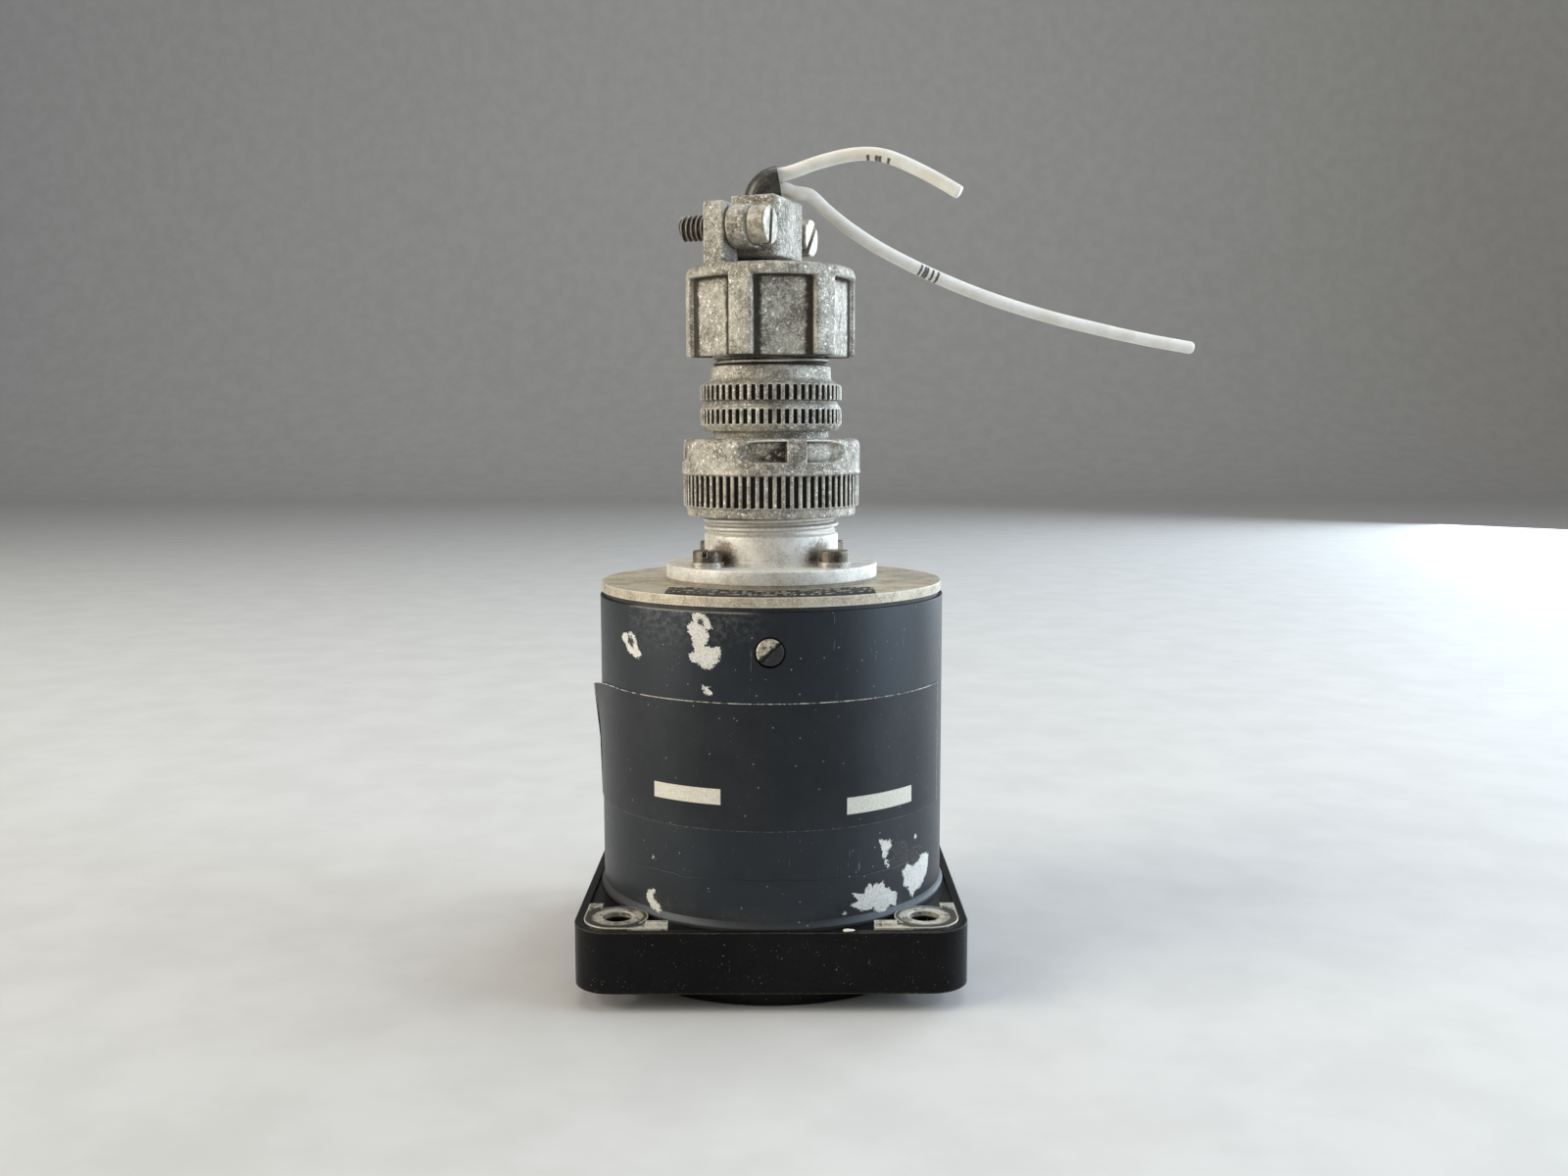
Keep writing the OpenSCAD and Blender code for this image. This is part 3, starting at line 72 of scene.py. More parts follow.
class Field:
    """A number, colour or vector that varies over a surface: one output socket of a shader node."""

    def __init__(self, shader: "Shader", socket: bpy.types.NodeSocket) -> None:
        """Wraps a socket.

        Args:
            shader: The shader that owns the socket's node.
            socket: The output socket to read.
        """
        self.shader = shader
        self.socket = socket

    def __add__(self, other: "Value") -> "Field":
        """Adds a number or field."""
        return self.shader.math("ADD", self, other)

    def __radd__(self, other: "Value") -> "Field":
        """Adds this field to a number."""
        return self.shader.math("ADD", other, self)

    def __sub__(self, other: "Value") -> "Field":
        """Takes a number or field away."""
        return self.shader.math("SUBTRACT", self, other)

    def __rsub__(self, other: "Value") -> "Field":
        """Takes this field away from a number."""
        return self.shader.math("SUBTRACT", other, self)

    def __mul__(self, other: "Value") -> "Field":
        """Multiplies by a number or field."""
        return self.shader.math("MULTIPLY", self, other)

    def __rmul__(self, other: "Value") -> "Field":
        """Multiplies a number by this field."""
        return self.shader.math("MULTIPLY", other, self)

    def __truediv__(self, other: "Value") -> "Field":
        """Divides by a number or field."""
        return self.shader.math("DIVIDE", self, other)

    def __rtruediv__(self, other: "Value") -> "Field":
        """Divides a number by this field."""
        return self.shader.math("DIVIDE", other, self)

    def __pow__(self, other: "Value") -> "Field":
        """Raises to a power."""
        return self.shader.math("POWER", self, other)

    def __neg__(self) -> "Field":
        """Turns the sign."""
        return self.shader.math("MULTIPLY", self, -1.0)

    def __abs__(self) -> "Field":
        """Drops the sign."""
        return self.shader.math("ABSOLUTE", self)

    def least(self, other: "Value") -> "Field":
        """The smaller of this and another."""
        return self.shader.math("MINIMUM", self, other)

    def most(self, other: "Value") -> "Field":
        """The larger of this and another."""
        return self.shader.math("MAXIMUM", self, other)

    def wave(self) -> "Field":
        """The sine."""
        return self.shader.math("SINE", self)

    def part(self) -> "Field":
        """The part after the decimal point."""
        return self.shader.math("FRACT", self)

    def step(self, low: float, high: float) -> "Field":
        """A smooth step.

        Args:
            low: Where the step gives 0.
            high: Where the step gives 1. It may be less than low.

        Returns:
            The field from 0 to 1.
        """
        node = self.shader.node(
            "ShaderNodeMapRange",
            {"interpolation_type": "SMOOTHSTEP"},
            {0: self, 1: low, 2: high, 3: 0.0, 4: 1.0},
        )
        return Field(self.shader, node.outputs[0])

    def band(self, low: float, high: float, soft: float) -> "Field":
        """1 between two values and 0 outside them, fading over soft on both sides of each."""
        return self.step(low - soft, low + soft) * self.step(high + soft, high - soft)


Value = float | Field


class Shader:
    """Builds one material's node tree round a Principled surface."""

    def __init__(self, name: str) -> None:
        """Starts an empty tree with its surface and output.

        Args:
            name: The material's name.
        """
        self.material = bpy.data.materials.new(name)
        self.material.use_nodes = True
        self.tree = self.material.node_tree
        self.tree.nodes.clear()
        self.surface = self.node("ShaderNodeBsdfPrincipled")
        self.node("ShaderNodeOutputMaterial", {}, {"Surface": Field(self, self.surface.outputs[0])})

    def node(
        self,
        kind: str,
        settings: Mapping[str, Any] | None = None,
        inputs: Mapping[str | int, Any] | None = None,
    ) -> bpy.types.Node:
        """Adds a node of any type.

        Args:
            kind: Blender's name for the node's type.
            settings: Attributes that are set first; "curve" fills a float curve.
            inputs: Values or fields for its sockets, by name or place.

        Returns:
            The node.
        """
        node = self.tree.nodes.new(kind)
        for key, value in (settings or {}).items():
            if key == "curve":
                self._fill_curve(node, value)
            else:
                setattr(node, key, value)
        for key, value in (inputs or {}).items():
            self._feed(node.inputs[key], value)
        return node

    @staticmethod
    def _fill_curve(node: bpy.types.Node, points: Sequence[tuple[float, float]]) -> None:
        """Writes a float curve's points, joined by straight lines.

        Args:
            node: The float curve's node.
            points: The points, in order of their first number.
        """
        curve = node.mapping.curves[0]
        while len(curve.points) < len(points):
            curve.points.new(0.5, 0.5)
        for point, place in zip(curve.points, points):
            point.location = place
            point.handle_type = "VECTOR"
        node.mapping.update()

    def _feed(self, socket: bpy.types.NodeSocket, value: Any) -> None:
        """Links a field to a socket, or sets the socket's own value.

        Args:
            socket: The input socket.
            value: A field, a number, or a colour or vector as a tuple.
        """
        if isinstance(value, Field):
            self.tree.links.new(value.socket, socket)
        elif socket.type == "RGBA" and len(value) == 3:
            socket.default_value = (*value, 1.0)
        else:
            socket.default_value = value

    def math(self, operation: str, *values: Value) -> Field:
        """One Math node on numbers or fields."""
        node = self.node("ShaderNodeMath", {"operation": operation}, dict(enumerate(values)))
        return Field(self, node.outputs[0])

    def vector(self, operation: str, *values: Any) -> Field:
        """One Vector Math node on vectors or fields; DISTANCE gives a number."""
        node = self.node("ShaderNodeVectorMath", {"operation": operation}, dict(enumerate(values)))
        return Field(self, node.outputs["Value" if operation == "DISTANCE" else "Vector"])

    def place(self) -> Field:
        """The point on the piece.

        Returns:
            The point, in millimetres in the shared frame.
        """
        coords = Field(self, self.node("ShaderNodeTexCoord").outputs["Object"])
        node = self.node("ShaderNodeVectorMath", {"operation": "SCALE"}, {0: coords, "Scale": 1 / MM})
        return Field(self, node.outputs[0])

    def mapped(self) -> tuple[Field, Field]:
        """The point's place on the piece's own map, in its two directions and its own units."""
        across, up, _ = self.split(Field(self, self.node("ShaderNodeUVMap", {"uv_map": "along"}).outputs[0]))
        return across, up

    def split(self, vector: Field) -> tuple[Field, Field, Field]:
        """A vector's three numbers."""
        node = self.node("ShaderNodeSeparateXYZ", {}, {0: vector})
        return tuple(Field(self, out) for out in node.outputs)

    def join(self, x: Value, y: Value, z: Value) -> Field:
        """A vector of three numbers."""
        node = self.node("ShaderNodeCombineXYZ", {}, {0: x, 1: y, 2: z})
        return Field(self, node.outputs[0])

    def noise(
        self, at: Field, scale: float, detail: float = 3.0, rough: float = 0.55, warp: float = 0.0
    ) -> Field:
        """Soft noise from 0 to 1.

        Args:
            at: Where it is read, in millimetres.
            scale: Its cells per millimetre.
            detail: Its octaves.
            rough: How strong the fine octaves are.
            warp: How far it is twisted.

        Returns:
            The noise.
        """
        node = self.node(
            "ShaderNodeTexNoise",
            {},
            {"Vector": at, "Scale": scale, "Detail": detail, "Roughness": rough, "Distortion": warp},
        )
        return Field(self, node.outputs[0])

    def cells(self, at: Field, scale: float) -> Field:
        """Distance to the nearest of scattered points, in cells."""
        node = self.node("ShaderNodeTexVoronoi", {}, {"Vector": at, "Scale": scale})
        return Field(self, node.outputs["Distance"])

    def mix(self, share: Value, low: Any, high: Any) -> Field:
        """Mixes two colours by a share from 0 to 1."""
        node = self.node("ShaderNodeMix", {"data_type": "RGBA"}, {0: share, 6: low, 7: high})
        return Field(self, node.outputs[2])

    def crevice(self, reach: float) -> Field:
        """How deep in a corner or slot a point lies, from 0 on open faces to 1.

        Args:
            reach: How far around the point is looked at, in millimetres.

        Returns:
            The field.
        """
        return self._closed_in(reach, False)

    def edge(self, reach: float) -> Field:
        """How near an outer edge a point lies, from 0 on faces to about 0.5 on a sharp edge."""
        return self._closed_in(reach, True)

    def _closed_in(self, reach: float, inside: bool) -> Field:
        """How little is open round a point.

        Args:
            reach: How far around the point is looked at, in millimetres.
            inside: Whether it is looked at inside the piece instead of outside.

        Returns:
            The closed share, from 0 to 1.
        """
        settings = {"samples": 6, "only_local": True, "inside": inside}
        node = self.node("ShaderNodeAmbientOcclusion", settings, {"Distance": reach * MM})
        return 1.0 - Field(self, node.outputs["AO"])

    def bump(self, height: Field, strength: float, depth: float, rounding: float = 0.0) -> Field:
        """A bumped normal.

        Args:
            height: The height field, from 0 to 1.
            strength: The share of the bump that shows.
            depth: The height of 1, in millimetres.
            rounding: Radius to which sharp edges are shaded round, in millimetres; 0 leaves them.

        Returns:
            The normal.
        """
        inputs: dict[str | int, Any] = {"Strength": strength, "Distance": depth * MM, "Height": height}
        if rounding > 0:
            soft = self.node("ShaderNodeBevel", {"samples": 4}, {"Radius": rounding * MM})
            inputs["Normal"] = Field(self, soft.outputs[0])
        return Field(self, self.node("ShaderNodeBump", {}, inputs).outputs[0])

    def finish(self, **sockets: Any) -> bpy.types.Material:
        """Feeds the surface's sockets and gives the material.

        Args:
            sockets: The value or field of each socket, its name written with _ for a space.

        Returns:
            The material.
        """
        for key, value in sockets.items():
            self._feed(self.surface.inputs[key.replace("_", " ")], value)
        return self.material


# Finishes


@dataclass(frozen=True)
class Finish:
    """A surface finish. Subclasses paint it on a shader."""

    name: str

    def paint(self, shader: Shader) -> bpy.types.Material:
        """Builds the finish's nodes and gives the material."""
        raise NotImplementedError


@lru_cache(maxsize=None)
def material_of(finish: Finish) -> bpy.types.Material:
    """The one material of a finish, made when it is first asked for."""
    return finish.paint(Shader(finish.name))


@dataclass(frozen=True)
class CastMetal(Finish):
    """Old die-cast light alloy: grainy oxide, bright specks, pits, rubbed edges, dirt and painted shade in
    corners.

    Each knurl is (height from, height to, radius at which a slot is darkest with dirt and painted shade, radius
    where its land starts).
    Ribs are (height from, height to, radius) of the clamp nut's panels, between its six ribs.
    """

    light: Colour = (0.50, 0.47, 0.395)
    dark: Colour = (0.17, 0.15, 0.115)
    # dirt colours the pits, and also the painted shade in crevices, slots and pockets
    dirt: Colour = (0.030, 0.021, 0.013)
    rub: Colour = (0.86, 0.84, 0.77)
    rounding: float = 0.25
    reach: float = 1.2
    metal: float = 0.3
    knurls: tuple[tuple[float, float, float, float], ...] = ()
    ribs: tuple[float, float, float] | None = None
    pockets: bool = False

    def paint(self, shader: Shader) -> bpy.types.Material:
        """Mixes oxide tones by noise, scatters specks and pits, and darkens crevices and slots with dirt and
        painted shade.

        Args:
            shader: The shader to paint on.

        Returns:
            The material.
        """
        at = shader.place()
        x, y, z = shader.split(at)
        radius = (x * x + y * y) ** 0.5
        broad = shader.noise(at, 0.2, 4.0, 0.6)
        fine = shader.noise(at, 1.1, 4.0, 0.65)
        grain = shader.noise(at, 2.7, 3.0, 0.75)
        sand = shader.noise(shader.vector("ADD", at, (31.7, 12.3, 7.9)), 3.6, 3.0, 0.75)
        tone = (broad * 0.45 + fine * 0.3 + grain * 0.25).step(0.38, 0.62)
        colour = shader.mix(tone, self.dark, self.light)
        bright = (sand + (fine - 0.5) * 0.35).step(0.535, 0.63)
        colour = shader.mix(bright * 0.75, colour, self.rub)
        pits = (grain + (broad - 0.5) * 0.25).step(0.43, 0.33)
        colour = shader.mix(pits * 0.72, colour, self.dirt)
        glints = shader.cells(at, 0.85).step(0.24, 0.13) * fine.step(0.44, 0.52)
        colour = shader.mix(glints * 0.9, colour, (0.93, 0.92, 0.87))
        worn = (shader.edge(0.32) + (fine - 0.5) * 0.4).step(0.14, 0.42)
        colour = shader.mix(worn * 0.7, colour, self.rub)
        # Painted shade with dirt: crevices, knurl slots, rib corners, the rim's underside and the lockwire
        # pockets go dark
        shade_and_grime = (shader.crevice(self.reach) + (fine - 0.5) * 0.4).step(0.16, 0.52)
        for low, high, deep, land in self.knurls:
            shade_and_grime = shade_and_grime.most(radius.step(land, deep) * z.band(low, high, 0.12))
        if self.ribs is not None:
            shade_and_grime = shade_and_grime.most(self._beside_ribs(shader.math("ARCTAN2", x, -y), z, radius, fine))
        if self.pockets:
            shade_and_grime = shade_and_grime.most(self._pocket(shader.math("ARCTAN2", x, -y), z, radius, fine))
        colour = shader.mix(shade_and_grime * 0.94, colour, self.dirt)
        height = grain * 0.6 + sand * 0.5 - pits * 0.4
        return shader.finish(
            Base_Color=colour,
            Metallic=self.metal,
            Roughness=(0.6 + (fine - 0.5) * 0.3 + shade_and_grime * 0.25 - worn * 0.12 - bright * 0.12).least(0.95),
            Normal=shader.bump(height, 0.6, 0.09, self.rounding),
        )

    def _beside_ribs(self, angle: Field, z: Field, radius: Field, fine: Field) -> Field:
        """Painted shade and dirt on the panels close to the ribs and under the rim.

        With a the angle from a rib's middle, folded into a sixth of a turn, the shade and dirt lie where
        the arc a times the radius is less than about 3 mm, or close below the panels' upper end.

        Args:
            angle: The point's angle from -Y, in radians.
            z: Its height.
            radius: Its distance from the axis.
            fine: Fine noise that makes the edge of the shade and dirt ragged.

        Returns:
            The painted shade and dirt, from 0 to 1.
        """
        low, high, panel_r = self.ribs
        sixth, rib_turn, reach = math.pi / 3, math.radians(20.0), 3.3
        folded = ((angle + rib_turn) / sixth + 3.5).part() - 0.5
        arc = abs(folded * sixth * radius) + (fine - 0.5) * 1.1
        on_panel = radius.step(panel_r + 0.35, panel_r + 0.1) * z.band(low, high, 0.15)
        under = (z + (fine - 0.5) * 1.2).step(high - 0.75, high - 0.35)
        return on_panel * (arc.step(reach, reach - 0.6) + under).least(1.0)

    @staticmethod
    def _pocket(angle: Field, z: Field, radius: Field, fine: Field) -> Field:
        """Painted shadow and old dirt in the three lockwire holes, to the left of each web.

        With a the angle from -Y folded into a third of a turn, the shadow and dirt lie right of the line
        that climbs from the hole's tip to its top corner, left of the web, and below the ring's own surface.

        Args:
            angle: The point's angle from -Y, in radians.
            z: Its height.
            radius: Its distance from the axis.
            fine: Fine noise that makes the edge of the shadow and dirt ragged.

        Returns:
            The painted shadow and dirt, from 0 to 1.
        """
        third = 2 * math.pi / 3
        tip_z, low, high, web_side, surface_r = 82.9, 82.35, 85.35, 2.95, 14.3
        folded = (angle / third + 1.5).part() - 0.5
        side = (folded * third).wave() * radius + (fine - 0.5) * 2.2
        right_of_line = (side - (z - tip_z) * 1.5 + (fine - 0.5) * 5.0).step(-2.6, -0.9)
        sunk = radius.step(surface_r, surface_r - 0.25)
        shadow_and_dirt = right_of_line * side.step(web_side, web_side - 0.25) * z.band(low, high, 0.2) * sunk
        return shadow_and_dirt * fine.step(0.66, 0.52)


@dataclass(frozen=True)
class BareAluminium(Finish):
    """Bare sheet or turned aluminium: pale and chalky, with dark flecks, stains, painted shade in corners and
    rubbed edges.

    Each listed place, a stain with a painted shadow, is (x, y, z, reach) in millimetres.
    """

    light: Colour = (0.82, 0.80, 0.74)
    dark: Colour = (0.56, 0.53, 0.465)
    stain: Colour = (0.13, 0.08, 0.04)
    stain_share: float = 0.5
    metal: float = 0.3
    rounding: float = 0.2
    flecks: float = 0.6
    stains: tuple[tuple[float, float, float, float], ...] = ()

    def paint(self, shader: Shader) -> bpy.types.Material:
        """Mixes chalky tones, scatters flecks, lays stains with painted shadow where they are listed, and
        painted shade in corners.

        Args:
            shader: The shader to paint on.

        Returns:
            The material.
        """
        at = shader.place()
        patch = shader.noise(at, 0.3, 5.0, 0.65)
        fine = shader.noise(at, 1.9, 4.0, 0.65)
        grain = shader.noise(shader.vector("ADD", at, (5.1, 17.3, 2.2)), 3.6, 3.0, 0.7)
        tone = (patch * 0.5 + fine * 0.3 + grain * 0.2).step(0.36, 0.6)
        colour = shader.mix(tone, self.dark, self.light)
        colour = shader.mix(grain.step(0.56, 0.66) * 0.5, colour, (0.88, 0.87, 0.84))
        fleck = (grain + (patch - 0.5) * 0.3).step(0.37, 0.3)
        colour = shader.mix(fleck * self.flecks, colour, self.stain)
        # Painted shade in corners, with random stain spots, darkens toward the stain colour
        shade_and_grime = (shader.crevice(1.5) * 0.9 + (patch - 0.5) * 0.6).step(0.2, 0.65)
        spots = shader.noise(at, 0.6, 6.0, 0.7, 0.4).step(0.6, 0.7)
        colour = shader.mix((shade_and_grime + spots * 0.4).least(1.0) * self.stain_share, colour, self.stain)
        # Each listed place darkens as a rust stain with a painted shadow
        for px, py, pz, reach in self.stains:
            near = shader.vector("DISTANCE", at, (px, py, pz)) + (fine - 0.5) * 3.2
            colour = shader.mix(near.step(reach, reach * 0.45) * 0.85, colour, self.stain)
        worn = (shader.edge(0.3) + (fine - 0.5) * 0.4).step(0.16, 0.45)
        colour = shader.mix(worn * 0.75, colour, (0.86, 0.84, 0.77))
        return shader.finish(
            Base_Color=colour,
            Metallic=self.metal,
            Roughness=(0.5 + (fine - 0.5) * 0.3 + shade_and_grime * 0.25).least(0.9),
            Normal=shader.bump(fine * 0.4 + grain * 0.5, 0.45, 0.05, self.rounding),
        )


@dataclass(frozen=True)
class Machined(Finish):
    """A small machined or drawn metal part with fine marks, tarnish, rubbed edges and painted shade in its
    slots.
    """

    light: Colour = (0.5, 0.48, 0.44)
    dark: Colour = (0.2, 0.18, 0.15)
    # dirt colours the painted shade and grime in slots and corners
    dirt: Colour = (0.012, 0.010, 0.008)
    rough: float = 0.38
    metal: float = 0.9
    rounding: float = 0.12
    reach: float = 0.6
    rub: float = 0.5

    def paint(self, shader: Shader) -> bpy.types.Material:
        """Mixes tarnish by noise and darkens slots with painted shade and grime.

        Args:
            shader: The shader to paint on.

        Returns:
            The material.
        """
        at = shader.place()
        patch = shader.noise(at, 0.8, 4.0, 0.6)
        fine = shader.noise(at, 3.4, 3.0, 0.65)
        colour = shader.mix((patch * 0.6 + fine * 0.4).step(0.4, 0.6), self.dark, self.light)
        # Painted shade with grime in slots and corners
        shade_and_grime = (shader.crevice(self.reach) + (patch - 0.5) * 0.4).step(0.2, 0.6)
        colour = shader.mix(shade_and_grime * 0.9, colour, self.dirt)
        worn = (shader.edge(0.22) + (fine - 0.5) * 0.3).step(0.18, 0.45)
        colour = shader.mix(worn * self.rub, colour, (0.76, 0.74, 0.68))
        return shader.finish(
            Base_Color=colour,
            Metallic=self.metal,
            Roughness=(self.rough + (fine - 0.5) * 0.25 + shade_and_grime * 0.3).least(0.9),
            Normal=shader.bump(fine, 0.35, 0.03, self.rounding),
        )


@dataclass(frozen=True)
class PaintedScrew(Finish):
    """A radial brass screw still black but for the rubbed upper left of its head."""

    height: float = CASE_SCREW_Z

    def paint(self, shader: Shader) -> bpy.types.Material:
        """Bares the brass above the head's diagonal, with a ragged edge.

        Args:
            shader: The shader to paint on.

        Returns:
            The material.
        """
        at = shader.place()
        x, y, z = shader.split(at)
        fine = shader.noise(at, 2.2, 4.0, 0.7)
        across = z - self.height - x * 0.8 + (fine - 0.5) * 1.8
        bare = across.step(0.15, 0.55) * fine.step(0.3, 0.42)
        black = shader.mix(fine.step(0.4, 0.7) * 0.4, (0.010, 0.010, 0.011), (0.06, 0.055, 0.045))
        brass = shader.mix(fine.step(0.4, 0.62), (0.36, 0.31, 0.21), (0.70, 0.66, 0.55))
        # Painted shade in the slot and the groove round the head
        shade_and_grime = shader.crevice(0.5).step(0.2, 0.6)
        colour = shader.mix(shade_and_grime * 0.95, shader.mix(bare, black, brass), (0.010, 0.009, 0.008))
        return shader.finish(
            Base_Color=colour,
            Metallic=bare * 0.55,
            Roughness=(0.42 + (fine - 0.5) * 0.3).least(0.9),
            Normal=shader.bump(fine, 0.4, 0.04, 0.1),
        )


@dataclass(frozen=True)
class GlossEnamel(Finish):
    """Glossy black enamel with dust, fine scuffs and worn corners."""

    def paint(self, shader: Shader) -> bpy.types.Material:
        """Adds dust specks and rubbed edges to a deep black gloss.

        Args:
            shader: The shader to paint on.

        Returns:
            The material.
        """
        at = shader.place()
        broad = shader.noise(at, 0.12, 4.0, 0.6)
        fine = shader.noise(at, 1.4, 5.0, 0.65)
        dust = shader.cells(at, 0.9).step(0.09, 0.04) * shader.noise(at, 0.5, 2.0).step(0.5, 0.6)
        grit = shader.cells(at, 2.2).step(0.13, 0.06) * shader.noise(at, 0.33, 3.0).step(0.52, 0.62)
        scuff = shader.noise(shader.vector("MULTIPLY", at, (0.35, 0.35, 5.0)), 1.3, 3.0, 0.7).step(0.66, 0.76)
        scuff = scuff * shader.noise(at, 0.09, 2.0).step(0.5, 0.62)
        worn = (shader.edge(0.4) + (fine - 0.5) * 0.5).step(0.3, 0.58)
        black = shader.mix(broad.step(0.35, 0.65), (0.0016, 0.0016, 0.0018), (0.0042, 0.0042, 0.0048))
        colour = shader.mix(worn * 0.7, black, (0.16, 0.13, 0.095))
        dull = (fine.step(0.55, 0.8) * 0.035 + scuff * 0.05).least(1.0)
        colour = shader.mix(dull, colour, (0.3, 0.285, 0.26))
        colour = shader.mix((dust + grit).least(1.0) * 0.7, colour, (0.55, 0.53, 0.48))
        return shader.finish(
            Base_Color=colour,
            Roughness=(0.2 + fine * 0.14 + broad * 0.1 + dust * 0.5).least(0.9),
            Specular_IOR_Level=0.09,
            Coat_Weight=0.1,
            Coat_Roughness=0.2,
            Normal=shader.bump(fine * 0.6 + broad * 2.0, 0.28, 0.05, 0.45),
        )


@dataclass(frozen=True)
class Chip:
    """A place where the case's paint has flaked off or is bruised, as an outline round a centre.

    The points are (distance round the case from its front, height), in millimetres.
    """

    centre: tuple[float, float]
    outline: tuple[tuple[float, float], ...]

    def reach(self) -> tuple[list[tuple[float, float]], float]:
        """The outline as a curve of distance against angle.

        Each point's angle about the centre, from 0 to 1 for a full turn, is paired with its distance
        as a share of the largest; the ends at 0 and 1 take the value between their neighbours.

        Returns:
            The points of the curve, and the largest distance in millimetres.
        """
        offset = np.array(self.outline) - np.array(self.centre)
        turn = np.mod(np.arctan2(offset[:, 1], offset[:, 0]) / (2 * np.pi), 1.0)
        far = np.hypot(offset[:, 0], offset[:, 1])
        order = np.argsort(turn)
        turn, far = turn[order], far[order]
        seam = np.interp(1.0, [turn[-1], turn[0] + 1.0], [far[-1], far[0]])
        largest = float(far.max())
        turns = np.concatenate([[0.0], turn, [1.0]])
        fars = np.concatenate([[seam], far, [seam]]) / largest
        return [(float(a), float(b)) for a, b in zip(turns, fars)], largest


CHIPS = (
    Chip((-24.4, 54.6), (
        (-27.2, 55.3), (-25.3, 56.0), (-23.6, 55.9), (-23.1, 54.6), (-22.5, 53.8), (-21.9, 53.0),
        (-23.4, 52.3), (-24.2, 52.8), (-25.3, 53.3), (-25.9, 54.3),
    )),
    Chip((-10.8, 58.4), (
        (-11.7, 60.2), (-10.3, 60.1), (-9.2, 59.2), (-8.8, 58.0), (-9.7, 57.8), (-9.6, 56.6),
        (-11.9, 56.6), (-12.8, 57.7), (-12.8, 58.2), (-11.8, 58.9),
    )),
    Chip((-10.7, 56.4), (
        (-12.0, 57.6), (-9.6, 57.7), (-9.4, 56.4), (-9.9, 55.4), (-10.0, 54.6), (-11.5, 54.6),
        (-11.9, 56.0),
    )),
    Chip((-10.0, 53.7), (
        (-11.5, 55.1), (-10.1, 55.3), (-8.9, 55.1), (-7.6, 55.3), (-7.5, 54.3), (-7.9, 53.4),
        (-9.0, 52.1), (-10.4, 52.2), (-11.2, 52.7), (-12.3, 53.2), (-12.5, 53.9), (-11.7, 54.5),
    )),
    Chip((-9.6, 48.7), (
        (-10.3, 49.4), (-9.8, 49.3), (-9.5, 48.8), (-8.9, 48.4), (-8.9, 48.0), (-9.5, 48.1),
        (-10.1, 48.6),
    )),
    Chip((17.4, 15.4), (
        (12.9, 17.1), (14.3, 16.7), (15.1, 16.5), (16.0, 18.3), (16.6, 17.2), (17.1, 18.0),
        (17.9, 17.4), (18.5, 18.1), (19.1, 16.8), (20.5, 15.9), (21.3, 15.8), (21.6, 14.6),
        (21.3, 13.4), (20.3, 13.9), (16.7, 14.2), (13.6, 14.6), (12.7, 15.2), (13.9, 15.8),
    )),
    Chip((19.1, 23.1), (
        (17.8, 24.6), (18.8, 24.3), (20.3, 23.6), (20.4, 22.8), (19.6, 22.2), (19.0, 21.5),
        (18.5, 21.8), (18.6, 22.7), (18.1, 23.7),
    )),
    Chip((19.6, 20.6), (
        (19.0, 21.1), (19.6, 21.1), (20.2, 20.3), (19.9, 19.9), (19.3, 20.4),
    )),
    Chip((27.0, 17.4), (
        (22.8, 19.4), (23.6, 19.2), (24.3, 20.0), (26.5, 20.1), (28.5, 19.9), (31.2, 19.3),
        (30.9, 17.9), (30.3, 16.6), (28.6, 15.1), (27.2, 14.6), (26.2, 14.4), (25.7, 13.7),
        (25.0, 14.6), (24.4, 15.7), (23.2, 16.3), (23.5, 17.4), (22.9, 18.2),
    )),
    Chip((26.4, 23.3), (
        (26.1, 23.4), (26.5, 23.6), (26.7, 23.2), (26.3, 23.0),
    )),
    Chip((-20.1, 14.9), (
        (-20.4, 16.4), (-19.6, 16.5), (-19.3, 15.6), (-18.9, 14.6), (-18.2, 13.6), (-18.5, 13.1),
        (-19.4, 13.2), (-20.3, 13.5), (-20.9, 14.2), (-21.4, 15.2), (-21.1, 16.0),
    )),
    Chip((-19.6, 21.5), (
        (-19.9, 21.7), (-19.4, 21.6), (-19.3, 21.3), (-19.7, 21.3),
    )),
    Chip((11.6, 14.1), (
        (11.3, 14.2), (11.7, 14.3), (11.8, 13.9), (11.4, 13.9),
    )),
    Chip((-60.0, 30.0), (
        (-63.0, 31.0), (-60.5, 32.5), (-57.0, 31.2), (-58.5, 29.0), (-61.0, 27.5),
    )),
    Chip((64.0, 52.0), (
        (61.5, 53.0), (64.0, 54.0), (66.0, 52.5), (65.2, 50.4), (62.5, 50.8),
    )),
)
BRUISES = (
    Chip((23.6, 20.7), (
        (19.5, 22.4), (21.6, 21.5), (24.1, 21.1), (27.2, 20.8), (28.4, 21.3), (28.1, 19.7),
        (24.1, 19.7), (20.8, 19.7), (19.4, 20.7),
    )),
    Chip((-24.6, 54.9), (
        (-25.5, 55.8), (-24.9, 55.6), (-24.0, 54.4), (-23.9, 53.9), (-24.6, 54.2), (-25.2, 55.0),
    )),
    Chip((-10.4, 59.0), (
        (-10.6, 59.4), (-10.2, 59.3), (-10.1, 58.6), (-10.4, 58.5),
    )),
    Chip((-19.2, 15.2), (
        (-19.6, 15.9), (-18.8, 16.2), (-18.5, 15.0), (-18.9, 14.4), (-19.4, 14.8),
    )),
)


